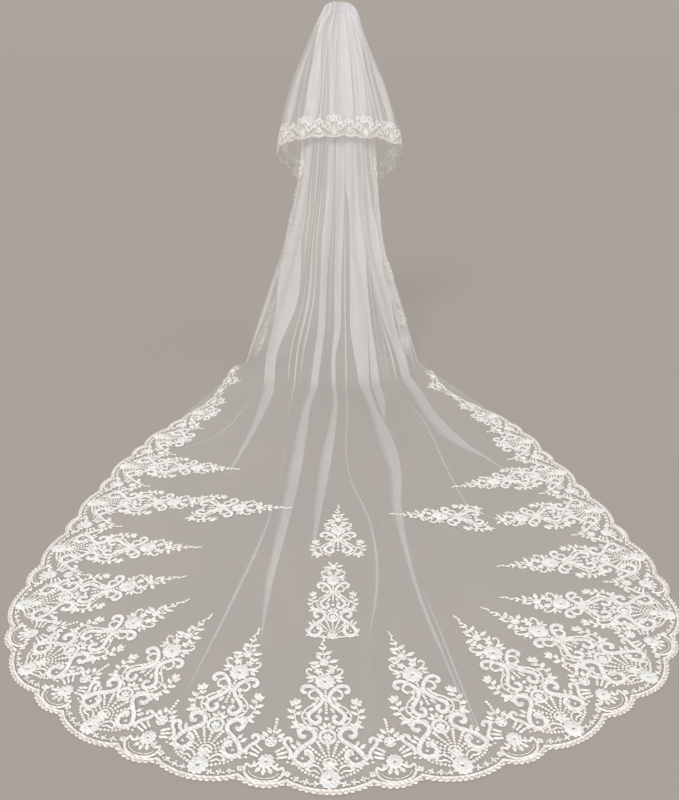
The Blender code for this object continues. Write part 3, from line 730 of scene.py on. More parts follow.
SHORT_THIN = (
    (0, 0.35, 0.10, 6.0, 9.0), (0, 0.70, 0.10, 5.0, 8.5),
    (1, 0.50, 0.20, 5.0, 8.5),
    (2, 0.30, 0.14, 6.0, 8.8), (2, 0.66, 0.14, 7.0, 9.0),
    (3, 0.30, 0.14, 6.5, 9.0), (3, 0.68, 0.14, 5.0, 8.0),
    (4, 0.50, 0.18, 6.0, 9.0),
    (5, 0.35, 0.14, 5.0, 8.0), (5, 0.70, 0.14, 6.5, 9.0),
    (6, 0.30, 0.10, 5.0, 8.5), (6, 0.65, 0.10, 6.0, 9.0),
)
SHORT_COLUMNS = 98
SHORT_GAP = 1.8 * MM
SHORT_THINNEST = 0.72  # at its hem, as a share of the way from gathered to flat cloth
short_places = np.linspace(0, len(SHORT_SECTIONS) - 1, SHORT_STEPS + 1)
short_grid, short_flute, short_seen = hanging_rows(SHORT_SECTIONS, short_places)
short_marks = short_grid[..., 2] + COMB_HEIGHT
short_normals, short_form = fluted(short_grid, short_flute, SHORT_FLUTES, short_places, 4.0)
short_edges = all_edges(short_grid, short_marks, short_seen, short_places, SHORT_PLEATS, SHORT_THIN)
short_forward = columns_for(short_edges, SHORT_COLUMNS)
short_gap = SHORT_GAP * ramp(short_places, -1.5, 2.0) * (1 - 0.8 * ramp(short_places, 6.0, 9.0))
short_points = pleated(short_form, short_normals, short_edges, short_gap, short_forward)
short_density = ramp(short_places, 0.5, 8.0) * SHORT_THINNEST
short_tier = sheet_piece("short_tier_tulle", short_points, short_density, short_forward)

# %% [markdown]
# Corded lace is drawn once, flat, in millimetres: x runs along the border and y inwards
# from it. A motif collects its parts there, and each copy is then laid on the train or
# on a hanging edge. What repeats most is modelled once: a bead is the top half
# of a sphere, and a rose is a ring that is pulled out in steps.

# %% Bead and rose, modelled once
def take_shape():
    """Reads the active object's points and faces as plain lists, and removes it."""
    shape = bpy.context.object
    points = np.array([tuple(vertex.co) for vertex in shape.data.vertices])
    faces = [tuple(face.vertices) for face in shape.data.polygons]
    mesh = shape.data
    bpy.data.objects.remove(shape, do_unlink=True)
    bpy.data.meshes.remove(mesh)
    return points, faces


def half_bead():
    bpy.ops.mesh.primitive_uv_sphere_add(segments=8, ring_count=4, radius=1.0)
    bpy.ops.object.mode_set(mode="EDIT")
    bpy.ops.mesh.select_all(action="SELECT")
    bpy.ops.mesh.bisect(plane_co=(0, 0, 0), plane_no=(0, 0, 1), clear_inner=True)
    bpy.ops.object.mode_set(mode="OBJECT")
    return take_shape()


ROSE_PETALS = 11
ROSE_HOLE = 0.12
RUFFLE_TWIST, RUFFLE_OUT, RUFFLE_UP = 7.0, 0.09, 0.30
ROSE_STEPS = (  # radius and height of each ring, from the hole in the middle outwards
    (0.24, 0.70), (0.38, 1.00), (0.47, 0.55), (0.62, 0.90), (0.71, 0.50), (0.90, 0.70),
    (1.00, 0.00),
)


def rose_rings():
    """A round rose of ruffled rings, with a scalloped rim and a small open middle."""
    bpy.ops.mesh.primitive_circle_add(vertices=4 * ROSE_PETALS, radius=ROSE_HOLE)
    bpy.ops.object.mode_set(mode="EDIT")
    bpy.ops.mesh.select_all(action="SELECT")
    reach, height = ROSE_HOLE, 0.0
    for radius, top in ROSE_STEPS:
        bpy.ops.mesh.extrude_edges_move(
            TRANSFORM_OT_translate={"value": (0.0, 0.0, top - height)}
        )
        bpy.ops.transform.resize(
            value=(radius / reach, radius / reach, 1.0), center_override=(0.0, 0.0, 0.0)
        )
        reach, height = radius, top
    bpy.ops.object.mode_set(mode="OBJECT")
    points, faces = take_shape()
    angle = np.arctan2(points[:, 1], points[:, 0])
    out = np.hypot(points[:, 0], points[:, 1])
    ruffle = np.cos(ROSE_PETALS * angle + RUFFLE_TWIST * out)
    points[:, :2] *= (1 + RUFFLE_OUT * ruffle * out**2)[:, None]
    points[:, 2] *= 1 + RUFFLE_UP * ruffle
    return points, faces


BEAD = half_bead()
ROSE = rose_rings()
print("bead faces", len(BEAD[1]), "rose faces", len(ROSE[1]))

# %% [markdown]
# A motif is three lists: points, faces and the thread of each face. The parts below add
# to it. A cord follows a smooth curve and has a rounded section, a ribbon has a raised
# cord along both its edges and satin between them, and a leaf is a small pointed dome
# with a crease down its middle. Most parts stand in pairs, left and right of the
# motif's middle line, so side is -1 or 1 in what follows.


# %% Lace parts
ROUND = ((-0.5, 0.0), (-0.32, 0.78), (0.0, 1.0), (0.32, 0.78), (0.5, 0.0))
RIBBON = ((-0.5, 0.0), (-0.42, 1.0), (-0.26, 0.35), (0.0, 0.50), (0.26, 0.35), (0.42, 1.0), (0.5, 0.0))
RIBBON_THREADS = (CORD, CORD, SATIN, SATIN, CORD, CORD)
LEAF_PLACES = ((0.0, 0.02), (0.14, 0.55), (0.36, 0.95), (0.60, 0.90), (0.83, 0.52), (1.0, 0.03))
LEAF_SECTION = ((-1.0, 0.0), (-0.62, 0.85), (0.0, 0.60), (0.62, 0.85), (1.0, 0.0))
LEAF_HALF = 0.62  # half a leaf's width, at its widest, as a share of the width that is asked
ROSE_THREADS = (CORD, SATIN, SATIN, CORD, SATIN, SATIN, CORD)  # one for each ring
PETAL_OUT, PETAL_LONG, PETAL_WIDE, FLOWER_EYE = 0.56, 0.44, 0.34, 0.20


def add_part(motif, points, faces, threads):
    start = motif["count"]
    motif["points"].append(np.asarray(points, float))
    motif["faces"] += [tuple(start + corner for corner in face) for face in faces]
    motif["threads"] += list(threads)
    motif["count"] += len(points)


def smooth_path(points, step):
    """Even steps along a smooth curve through the points."""
    knots = np.asarray(points, float)
    padded = np.vstack([2 * knots[0] - knots[1], knots, 2 * knots[-1] - knots[-2]])
    part = np.linspace(0, 1, 9)[:-1, None]
    fine = []
    for a, b, c, d in zip(padded, padded[1:], padded[2:], padded[3:]):
        bend = (2 * a - 5 * b + 4 * c - d) * part**2 + (3 * b - a - 3 * c + d) * part**3
        fine.append(0.5 * (2 * b + (c - a) * part + bend))
    fine = np.vstack(fine + [knots[-1:]])
    length = along_line(fine)
    count = max(int(round(length[-1] / step)), 3)
    at = np.linspace(0, length[-1], count + 1)
    return np.stack([np.interp(at, length, fine[:, k]) for k in (0, 1)], axis=1)


def add_cord(motif, points, width, height, section=ROUND, threads=(CORD,) * 4, step=3.0):
    line = smooth_path(points, step)
    width, height = width * motif["bold"], height * motif["bold"]
    way = unit(np.gradient(line, axis=0))
    across = np.stack([-way[:, 1], way[:, 0]], axis=1)
    run = along_line(line)
    near_end = np.minimum(np.minimum(run, run[-1] - run) / (0.6 * width), 1.0)
    full = np.sqrt(np.clip(1 - (1 - near_end) ** 2, 0.10, 1.0))
    rows = []
    for (x, y), (nx, ny), k in zip(line, across, full):
        rows += [(x + nx * q * width * k, y + ny * q * width * k, h * height * k) for q, h in section]
    size = len(section)
    faces, kinds = [], []
    for row in range(len(line) - 1):
        for k in range(size - 1):
            a = row * size + k
            faces.append((a, a + size, a + size + 1, a + 1))
            kinds.append(threads[k])
    add_part(motif, rows, faces, kinds)


def flip(points, side):
    return [(side * x, y) for x, y in points]


def circle(middle, radius, parts):
    turns = np.linspace(0, 2 * pi, parts + 1)
    return [(radius * cos(turn), middle + radius * sin(turn)) for turn in turns]


def add_ribbon(motif, points, width, height):
    add_cord(motif, points, width, height, RIBBON, RIBBON_THREADS, 3.2)


def turned(shape, size, x, y, turn):
    """A bead's or a rose's points, scaled, turned and put in place."""
    flat = shape * size
    c, s = cos(turn), sin(turn)
    across = x + flat[:, 0] * c - flat[:, 1] * s
    inward = y + flat[:, 0] * s + flat[:, 1] * c
    return np.stack([across, inward, flat[:, 2]], axis=1)


def add_bead(motif, x, y, long, wide=None, turn=0.0, height=None, thread=CORD):
    shape, faces = BEAD
    wide = wide or long
    size = (long, wide, height or 0.55 * min(long, wide) + 0.4)
    add_part(motif, turned(shape, size, x, y, turn), faces, [thread] * len(faces))


def add_beads(motif, points, size, spacing, grow=0.0):
    """A row of beads along a path. grow makes them larger towards its end."""
    line = smooth_path(points, spacing)
    way = np.gradient(line, axis=0)
    for k, ((x, y), (dx, dy)) in enumerate(zip(line, way)):
        long = size * (1 + grow * k / (len(line) - 1))
        add_bead(motif, x, y, long, 1.05 * long, float(np.arctan2(dy, dx)))


def add_leaf(motif, base, tip, width, height=1.5):
    base, tip = np.array(base, float), np.array(tip, float)
    width, height = width * motif["bold"], height * motif["bold"]
    way = tip - base
    across = np.array([-way[1], way[0]]) / np.linalg.norm(way)
    rows = []
    for along, half in LEAF_PLACES:
        middle = base + way * along
        for q, h in LEAF_SECTION:
            x, y = middle + across * q * half * width * LEAF_HALF
            rows.append((x, y, h * height * max(half, 0.25)))
    faces = []
    for row in range(len(LEAF_PLACES) - 1):
        for k in range(4):
            a = row * 5 + k
            faces.append((a, a + 1, a + 6, a + 5))
    add_part(motif, rows, [face[::-1] for face in faces], [CORD] * len(faces))


def add_leaves(motif, leaves, side=1):
    """Leaves from rows of base, tip and width. side -1 puts them left of the middle."""
    for base, tip, width in leaves:
        add_leaf(motif, *flip([base, tip], side), width)


def add_rose(motif, y, radius, height, turn):
    shape, faces = ROSE
    points = turned(shape, (radius, radius, height), 0, y, turn)
    rings = [min(min(face) // (4 * ROSE_PETALS), len(ROSE_THREADS) - 1) for face in faces]
    add_part(motif, points, faces, [ROSE_THREADS[ring] for ring in rings])


def add_flower(motif, x, y, radius, petals, turn, thread=CORD):
    for k in range(petals):
        angle = turn + 2 * pi * k / petals
        add_bead(
            motif, x + PETAL_OUT * radius * cos(angle), y + PETAL_OUT * radius * sin(angle),
            PETAL_LONG * radius, PETAL_WIDE * radius, angle, 1.5, thread,
        )
    add_bead(motif, x, y, FLOWER_EYE * radius, height=1.9, thread=SATIN)


# %% [markdown]
# The border runs under every unit: a scalloped picot net on the outside with beads along
# its rim, a thick cord inside it, and a row of small four-petalled flowers with a bead
# between each two. The scallop is 169 mm wide under a tree and 97 mm between two trees.

# %% Border
LOBE_WIDTH = {"big": 1000 * BIG_LOBE, "small": 1000 * SMALL_LOBE}
LOBE_BULGE = {"big": 1000 * BULGE["big"], "small": 1000 * BULGE["small"]}
PICOT_PITCH = 12.1
NET_DEPTH = 9.0
CORD_INSET = 10.2
FLOWER_INSET, BETWEEN_INSET, FLOWER_PITCH = 22.5, 19.5, 18


def border_line(kind, inset, steps):
    x = np.linspace(-0.5, 0.5, steps + 1)
    fall = LOBE_BULGE[kind] * np.abs(np.cos(pi * x)) ** 0.7
    return np.stack([x * LOBE_WIDTH[kind], inset - fall], axis=1)


def add_border(motif, kind, flowers_beyond):
    """One scallop's border. The rose covers the middle, so no flower stands there."""
    count = int(round(LOBE_WIDTH[kind] / PICOT_PITCH))
    steps = 6 * count
    outer = border_line(kind, 0.0, steps)
    inner = border_line(kind, NET_DEPTH, steps)
    wave = np.abs(np.sin(pi * count * np.linspace(0, 1, steps + 1)))
    outer[:, 1] += 3.2 * (1 - wave)
    rows = []
    for k in range(steps + 1):
        middle = 0.45 * outer[k] + 0.55 * inner[k]
        rows += [(*outer[k], 0.0), (*(outer[k] + (0, 0.9)), 1.1), (*(outer[k] + (0, 2.0)), 0.3)]
        rows += [(*middle, 0.3 + 0.7 * wave[k]), (*inner[k], 0.3)]
    first = [5 * k + part for k in range(steps) for part in range(4)]
    faces = [(a, a + 5, a + 6, a + 1) for a in first]
    add_part(motif, rows, faces, [PICOT] * len(faces))
    for k in range(count):
        add_bead(motif, *(outer[6 * k + 3] + (0, 2.4)), 5.4, 2.5, height=2.0)
        add_bead(motif, *(outer[6 * k] + (0, 3.2)), 2.2, 1.8, height=1.6)
    add_cord(motif, border_line(kind, CORD_INSET, 24), 4.4, 2.0)
    flowers = int(round(LOBE_WIDTH[kind] / FLOWER_PITCH))
    for x, y in border_line(kind, FLOWER_INSET, flowers):
        if flowers_beyond < abs(x):
            add_flower(motif, x, y, 7.4, 4, 0.6 + 0.02 * x)
    for x, y in border_line(kind, BETWEEN_INSET, 2 * flowers)[1::2]:
        if flowers_beyond < abs(x):
            add_bead(motif, x, y, 2.4)


# %% [markdown]
# A tall tree in groups, from the border up. First its foot, a rose on the border with
# curls beside it. Then come a shell of beaded rays that open above the rose, a scroll
# of ribbon on each side, and a ring of ribbon with a flower in it.


# %% Tall tree, shell and scrolls
def add_foot(motif):
    add_rose(motif, 15, 21.5, 4.0, 0.2)
    for side in (-1, 1):
        add_cord(motif, flip([(14, 30), (22, 42), (33, 47), (43, 42), (45, 34)], side), 5.0, 2.0)
        add_cord(motif, flip([(20, 26), (30, 34), (40, 33), (52, 38)], side), 4.2, 1.8)
        add_beads(motif, flip([(26, 20), (38, 25), (52, 31), (64, 41), (72, 53)], side), 3.6, 8.0)
        add_beads(motif, flip([(24, 52), (36, 57), (46, 52)], side), 3.2, 7.0)
        for x, y, turn in ((56, 43, 0.7), (46, 37, 0.4), (70, 72, 1.2)):
            add_bead(motif, side * x, y, 4.2, 2.8, side * turn)


def add_shell(motif):
    for k in range(7):
        angle = radians(90 + 21 * (k - 3))
        reach = 60 - 2.2 * abs(k - 3)
        path = [(r * cos(angle), 50 + r * sin(angle)) for r in (14, reach)]
        add_beads(motif, path, 2.9, 7.7, 0.45)
    add_flower(motif, 0, 47, 14.0, 6, 0.3)
    for side in (-1, 1):
        add_leaves(motif, (((4, 44), (16, 36), 6), ((6, 50), (19, 50), 5)), side)


def add_scrolls(motif):
    for side in (-1, 1):
        scroll = [
            (50, 77), (43, 81), (36, 73), (37, 58), (49, 46), (66, 49), (73, 60),
            (62, 81), (46, 95), (31, 107), (25, 121), (33, 136), (48, 140), (58, 129),
            (53, 117), (43, 121),
        ]
        add_ribbon(motif, flip(scroll, side), 10.6, 2.9)
        leaves = (((72, 56), (83, 74), 10), ((64, 86), (76, 100), 8), ((56, 92), (64, 108), 7))
        add_leaves(motif, leaves, side)
        add_bead(motif, side * 77, 48, 4.6, 3.4)
        add_bead(motif, side * 56, 63, 4.0, 3.0, side * 0.6, thread=SATIN)


def add_ring(motif):
    add_ribbon(motif, circle(117, 16, 12), 7.6, 2.4)
    add_flower(motif, 0, 117, 11.0, 6, 0.1, SATIN)
    for side in (-1, 1):
        add_leaves(motif, (((4, 136), (18, 147), 8), ((2, 140), (7, 156), 7)), side)
        add_bead(motif, side * 20, 134, 3.4, 2.6, side * 0.8)


# %% [markdown]
# Above the ring stands a lyre: two arms of ribbon that curl in at the foot and out at
# the top, each followed by a thinner cord, with a stem of beads between them and a
# spray of buds and leaves on each side.


# %% Tall tree, lyre and sprays
def add_lyre(motif):
    for side in (-1, 1):
        arm = [
            (24, 170), (16, 170), (15, 158), (25, 152), (36, 161), (38, 176), (27, 189),
            (14, 203), (7, 219), (11, 236), (22, 250), (33, 258), (45, 258), (52, 248),
            (48, 239), (41, 242),
        ]
        add_ribbon(motif, flip(arm, side), 9.8, 2.8)
        add_cord(motif, flip([(24, 247), (33, 243), (37, 232), (31, 222), (24, 226)], side), 6.8, 2.4)
        follow = [(13, 223), (26, 206), (42, 193), (52, 175), (47, 157), (32, 142), (20, 138)]
        add_cord(motif, flip(follow, side), 5.0, 2.0)
        for x, y in ((32, 190), (43, 181), (45, 166), (35, 150)):
            add_bead(motif, side * x, y, 3.8, 2.8, side * 0.7)
        add_leaves(motif, (((9, 196), (18, 178), 7), ((14, 228), (25, 216), 7)), side)
        add_flower(motif, side * 24, 205, 7.5, 4, 0.5 * side)
    add_beads(motif, [(0, 182), (0, 246)], 3.7, 8.0)
    add_bead(motif, 0, 166, 6.0, 5.0, thread=SATIN)


def add_sprays(motif):
    for side in (-1, 1):
        add_cord(motif, flip([(46, 152), (58, 150), (66, 164), (68, 184), (64, 204)], side), 3.6, 1.6)
        leaves = (
            ((58, 150), (78, 140), 9), ((57, 148), (61, 126), 9), ((56, 151), (43, 139), 8),
            ((60, 152), (75, 159), 8), ((67, 168), (85, 171), 9), ((66, 176), (52, 186), 8),
            ((68, 182), (84, 193), 9), ((64, 204), (56, 222), 9), ((65, 203), (79, 217), 9),
            ((65, 206), (67, 225), 9), ((66, 192), (52, 203), 8),
        )
        add_leaves(motif, leaves, side)
        add_bead(motif, side * 58, 150, 3.4, height=2.2, thread=SATIN)
        add_bead(motif, side * 73, 204, 4.6, 3.4, side * 1.0, thread=SATIN)


# %% [markdown]
# The crown has the largest rose, with two curls and small flowers, and the tip has one
# more flower, pairs of leaves and a wavy stem of beads.


# %% Tall tree, crown and tip
def add_crown(motif):
    add_rose(motif, 273, 23.0, 4.2, 0.5)
    for side in (-1, 1):
        curl = [(17, 286), (28, 290), (38, 298), (41, 308), (34, 313), (28, 307)]
        add_cord(motif, flip(curl, side), 6.0, 2.2)
        leaves = (((22, 285), (44, 286), 8), ((24, 279), (40, 271), 7.5), ((20, 313), (31, 326), 7.5))
        add_leaves(motif, leaves, side)
        add_flower(motif, side * 14, 306, 11.0, 5, 0.4 * side)
        add_bead(motif, side * 5, 297, 3.6)


def add_bud(motif):
    add_cord(motif, circle(334, 9.5, 8), 3.6, 1.7, step=2.6)
    add_flower(motif, 0, 334, 9.0, 6, 0.2, SATIN)
    leaves = (
        ((-10, 335), (-37, 331), 10), ((10, 335), (35, 343), 10), ((-7, 343), (-18, 361), 9),
        ((8, 326), (25, 313), 9), ((7, 343), (14, 358), 8), ((-9, 328), (-23, 317), 9),
    )
    add_leaves(motif, leaves)


def add_tip(motif):
    add_bud(motif)
    leaves = (((0, 360), (-20, 368), 9), ((0, 360), (21, 373), 9), ((1, 378), (-13, 388), 7))
    add_leaves(motif, leaves)
    add_cord(motif, [(0, 344), (1, 358), (-2, 372), (4, 386), (-3, 400), (3, 412), (0, 426)], 3.4, 1.6)
    for x, y, size in ((3, 384, 5.6), (-3, 397, 5.4), (2, 410, 5.0), (1, 420, 4.4), (0, 427, 3.6)):
        add_bead(motif, x, y, size, 0.78 * size, 1.2)


def add_base(motif):
    """The line that closes the foot of the lower middle motif."""
    add_cord(motif, [(-64, 47), (-38, 43), (-14, 41), (0, 36), (14, 41), (38, 43), (64, 47)], 4.6, 2.0)


# %% [markdown]
# The small unit between two trees: a rose over an arched double cord, petal drops that
# fan out below it, short bars beside it, two little scrolls, and a flower with a
# beaded stem on top.


# %% Small unit
def add_small_unit(motif):
    add_rose(motif, 46, 17.5, 3.6, 0.1)
    for angle in (-152, -121, -90, -59, -28):
        a = radians(angle)
        base, tip = [(r * cos(a), 46 + r * sin(a)) for r in (16, 33)]
        add_leaf(motif, base, tip, 8.5, 2.1)
    arch = [(-26, 44), (-21, 36), (-28, 30), (-38, 36), (-39, 20), (-26, 5), (0, -1)]
    arch += [(-x, y) for x, y in reversed(arch[:-1])]
    add_cord(motif, arch, 6.0, 2.3)
    add_cord(motif, [(-32, 22), (-21, 11), (0, 6), (21, 11), (32, 22)], 2.0, 1.1)
    for side in (-1, 1):
        for base, tip in (((19, 56), (41, 62)), ((17, 64), (39, 74)), ((13, 70), (30, 84))):
            add_cord(motif, flip([base, tip], side), 6.4, 2.5)
        scroll = [(44, 56), (47, 68), (40, 80), (30, 90), (26, 100), (33, 108), (41, 103), (38, 96)]
        add_ribbon(motif, flip(scroll, side), 8.2, 2.5)
        leaves = (((9, 106), (24, 119), 9), ((4, 116), (15, 131), 8.5), ((13, 96), (27, 110), 7))
        add_leaves(motif, leaves, side)
        add_bead(motif, side * 44, 50, 4.0, 3.0)
    add_cord(motif, circle(95, 11, 8), 4.2, 1.7, step=2.8)
    add_flower(motif, 0, 95, 10.5, 5, 0.3, SATIN)
    add_cord(motif, [(0, 106), (1, 122), (-1, 138)], 2.6, 1.2)
    add_beads(motif, [(0, 122), (1, 138), (0, 154)], 3.2, 7.4, 0.3)


# %% [markdown]
# The motifs that the veil needs, each built once from those groups. A blunt tree has no
# tip, short trees end above their ring, and a narrow strip goes on to the side edges.


# %% Motifs
def motif_of(*groups, bold=1.0):
    """bold widens every cord and leaf, for lace that is seen from further off."""
    motif = {"points": [], "faces": [], "threads": [], "count": 0, "bold": bold}
    for group in groups:
        group(motif)
    motif["points"] = np.vstack(motif["points"])
    return motif


def big_border(motif):
    add_border(motif, "big", flowers_beyond=28)


def small_border(motif):
    add_border(motif, "small", flowers_beyond=39)


tree_foot = (big_border, add_foot, add_shell, add_scrolls, add_ring)
MOTIFS = {
    "tree": motif_of(*tree_foot, add_lyre, add_sprays, add_crown, add_tip),
    "blunt_tree": motif_of(*tree_foot, add_lyre, add_sprays, add_crown, add_bud),
    "short_tree": motif_of(*tree_foot),
    "strip": motif_of(big_border, add_foot),
    "small": motif_of(small_border, add_small_unit),
    "foot_spray": motif_of(
        add_base, add_shell, add_scrolls, add_ring, add_lyre, add_sprays, add_crown, add_bud
    ),
    "loose_spray": motif_of(add_lyre, add_sprays, add_crown, add_tip),
}
for name, motif in MOTIFS.items():
    print(name, "has", sum(len(face) - 2 for face in motif["faces"]), "triangles")

# %% [markdown]
# Laying the lace down. On the train a unit's border follows the outline, and higher up
# it straightens to the unit's own middle line, as an embroidered tree does. The lace
# lies 1.2 mm above the floor, on the tulle.

# %% Lace on the train
LACE_BED = FLOOR + 1.2 * MM
STRAIGHT_FROM, STRAIGHT_TO = 0.03, 0.10  # up a unit, where it leaves the outline's curve
STRIP_FROM, STRIP_TO = 2.10, 2.60  # along the border, where the units turn into a strip
STRIP_SHARE = 0.48  # how deep the strip's units are, next to full ones
LAST_LEAN = -0.05  # of the units past the ones in the next list
TREE_LEANS = {  # how far each tree leans along the border, as a share of its height
    -7: -0.115, -6: -0.110, -5: -0.070, -4: -0.125, -3: -0.010, -2: -0.047, -1: -0.045,
    0: -0.055, 1: -0.070, 2: 0.0, 3: -0.140, 4: -0.140, 5: -0.055, 6: -0.050, 7: -0.070,
}


def on_train(motif, centre, lean=0.0):
    """A motif on the floor. centre is its place along the border."""
    points = motif["points"] * MM
    slim = 1 - (1 - STRIP_SHARE) * ramp(abs(centre), STRIP_FROM, STRIP_TO)
    across, inward = points[:, 0], points[:, 1] * slim
    point, _, inwards = outline_at(centre + across)
    curved = point + inwards * inward[:, None]
    point, way, inwards = outline_at(np.array([centre]))
    straight = point + inwards * inward[:, None] + way * (across + lean * inward)[:, None]
    part = ramp(inward, STRAIGHT_FROM, STRAIGHT_TO)[:, None]
    flat = curved * (1 - part) + straight * part
    return np.column_stack([flat, LACE_BED + points[:, 2]])


def lace_piece(name, laid, *nodes):
    """One object from motifs that are already in place: pairs of motif and points."""
    points, faces = joined([(placed, motif["faces"]) for motif, placed in laid])
    threads = [thread for motif, _ in laid for thread in motif["threads"]]
    piece = new_piece(name, points, faces, LACE_FINISHES, threads)
    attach(piece, "root")
    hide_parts(*nodes)
    return piece


BLUNT_TREE = 6  # the tree on each side that a loose spray stands beyond
FULL_TREES, SHORT_TREES, LAST_UNIT = 7, 9, 11  # trees are numbered from the train's end
END_UNITS = 3  # on each side of tree 0, in the piece at the train's end
BORDER_END = 9.0  # past the last unit


def border_units(first, last):
    """The units between two places along the border, each laid on the train."""
    laid = []
    for number in range(-LAST_UNIT, LAST_UNIT + 1):
        kind = "tree" if abs(number) <= FULL_TREES else "short_tree"
        kind = kind if abs(number) <= SHORT_TREES else "strip"
        kind = kind if abs(number) != BLUNT_TREE else "blunt_tree"
        tree, small, centre = MOTIFS[kind], MOTIFS["small"], number * REPEAT
        if first < centre < last:
            laid.append((tree, on_train(tree, centre, TREE_LEANS.get(number, LAST_LEAN))))
        centre += REPEAT / 2
        if first < centre < last and number < LAST_UNIT:
            laid.append((small, on_train(small, centre)))
    return laid


middle_part = END_UNITS * REPEAT + BIG_LOBE / 2
lace_pieces = [
    lace_piece("border_lace_left", border_units(-BORDER_END, -middle_part), "hem_lace_left"),
    lace_piece("border_lace_end", border_units(-middle_part, middle_part), "hem_lace_end"),
    lace_piece("border_lace_right", border_units(middle_part, BORDER_END), "hem_lace_right"),
]

# %% [markdown]
# Two loose motifs stand one above the other on the train's middle line, the lower one
# closed by a line at its foot and drawn narrower. One more lies beyond the sixth tree
# at each side of the train, pointing inwards.

# %% Loose motifs
UPPER_MIDDLE = {"x": -0.004, "foot": -1.940, "low": 0.130, "wide": 1.0}
LOWER_MIDDLE = {"x": -0.017, "foot": -2.272, "low": 0.050, "wide": 0.80}
LEFT_SPRAY = {"tree": -BLUNT_TREE, "from": 0.352, "size": 1.07, "lean": -0.10}
RIGHT_SPRAY = {"tree": BLUNT_TREE, "from": 0.388, "size": 1.01, "lean": 0.22}
SPRAY_LOW = 0.140  # where a loose spray starts in its own drawing
SPRAY_BED = 0.6 * MM  # its cords lie on the tree's last leaves


def on_middle(motif, place):
    """A motif on the middle line, upright, whose height low lies at foot."""
    points = motif["points"] * MM
    x = place["x"] + points[:, 0] * place["wide"]
    y = place["foot"] + points[:, 1] - place["low"]
    return np.column_stack([x, y, LACE_BED + points[:, 2]])


def on_side(motif, place):
    """A motif beyond a tree, leaning a little along the border."""
    points = motif["points"] * MM
    point, way, inwards = outline_at(np.array([place["tree"] * REPEAT]))
    above = (points[:, 1:2] - SPRAY_LOW) * place["size"]
    across = points[:, :1] * place["size"] + place["lean"] * above
    flat = point + inwards * (place["from"] + above) + way * across
    return np.column_stack([flat, LACE_BED + SPRAY_BED + points[:, 2]])


foot_spray, loose_spray = MOTIFS["foot_spray"], MOTIFS["loose_spray"]
LOOSE_MOTIFS = {
    "motif_lace_lower": (foot_spray, on_middle(foot_spray, LOWER_MIDDLE), "motif_middle_lower"),
    "motif_lace_upper": (loose_spray, on_middle(loose_spray, UPPER_MIDDLE), "motif_middle_upper"),
    "motif_lace_left": (loose_spray, on_side(loose_spray, LEFT_SPRAY), "motif_left"),
    "motif_lace_right": (loose_spray, on_side(loose_spray, RIGHT_SPRAY), "motif_right"),
}
for name, (motif, placed, node) in LOOSE_MOTIFS.items():
    lace_pieces.append(lace_piece(name, [(motif, placed)], node))

# %% [markdown]
# The same lace trims the long tier's side edges and the short tier's hem, only smaller.
# There it follows the hanging cloth: each point is looked up on the tier's own surface
# and moved out a little, and past the cloth's edge the surface is carried straight on.


# %% Lace on hanging cloth
def on_surface(grid, normals, row, column, rise):
    """Points of a surface at places between its rows and columns, or just past them."""
    i = np.clip(np.floor(row).astype(int), 0, grid.shape[0] - 2)
    j = np.clip(np.floor(column).astype(int), 0, grid.shape[1] - 2)
    s, t = (row - i)[:, None], (column - j)[:, None]

    def read(values):
        upper = values[i, j] * (1 - t) + values[i, j + 1] * t
        lower = values[i + 1, j] * (1 - t) + values[i + 1, j + 1] * t
        return upper * (1 - s) + lower * s

    return read(grid) + unit(read(normals)) * rise[:, None]


HEM_SCALE = 0.60  # about how large the hem's lace is, next to the train's
HEM_BOLD = 1.35
HEM_REACH = 0.30
CLOTH_GAP = 1.0 * MM
UP_STEP = 2.0 * MM


def rows_above_hem(grid):
    """For each column, the row that lies each 2 mm further up from the hem."""
    up = grid[::-1]
    lengths = np.cumsum(np.linalg.norm(np.diff(up, axis=0), axis=2), axis=0)
    lengths = np.vstack([np.zeros(grid.shape[1]), lengths])
    reach = np.arange(0.0, HEM_REACH, UP_STEP)
    order = np.arange(len(grid) - 1, -1, -1)
    return np.stack([np.interp(reach, lengths[:, k], order) for k in range(grid.shape[1])], axis=1)


def on_hem(motif, centre):
    """A motif on the short tier's hem. x goes along the hem and y up from it."""
    points = motif["points"] * MM * hem_scale
    column = np.interp(centre + points[:, 0], hem_lengths, np.arange(len(hem_lengths)))
    place = np.maximum(points[:, 1], 0) / UP_STEP
    low = np.floor(place).astype(int)
    near = np.round(column).astype(int)
    row = hem_rows[low, near] * (1 - place + low) + hem_rows[low + 1, near] * (place - low)
    last_step = np.linalg.norm(short_lace_grid[-1] - short_lace_grid[-2], axis=1)[near]
    row = row - np.minimum(points[:, 1], 0) / last_step
    return on_surface(short_lace_grid, short_normals, row, column, CLOTH_GAP + points[:, 2])


hem_lengths = along_line(short_form[-1])
hem_repeats = int(round(hem_lengths[-1] / (REPEAT * HEM_SCALE)))
hem_scale = hem_lengths[-1] / (hem_repeats * REPEAT)
hem_tree = motif_of(*tree_foot, bold=HEM_BOLD)
hem_small = motif_of(small_border, add_small_unit, bold=HEM_BOLD)
short_lace_grid = short_form + short_normals * (2 * short_gap)[:, None, None]
hem_rows = rows_above_hem(short_lace_grid)
hem_laid = []
for k in range(hem_repeats):
    for motif, place in ((hem_tree, BIG_LOBE / 2), (hem_small, BIG_LOBE + SMALL_LOBE / 2)):
        hem_laid.append((motif, on_hem(motif, (k * REPEAT + place) * hem_scale)))
lace_pieces.append(lace_piece("short_tier_lace", hem_laid, "upper_lace"))
print("short hem", round(hem_lengths[-1], 3), "m,", hem_repeats, "repeats")

# %% [markdown]
# Up each side edge of the long tier the lace is a narrow strip, from the floor to about
# a metre high.

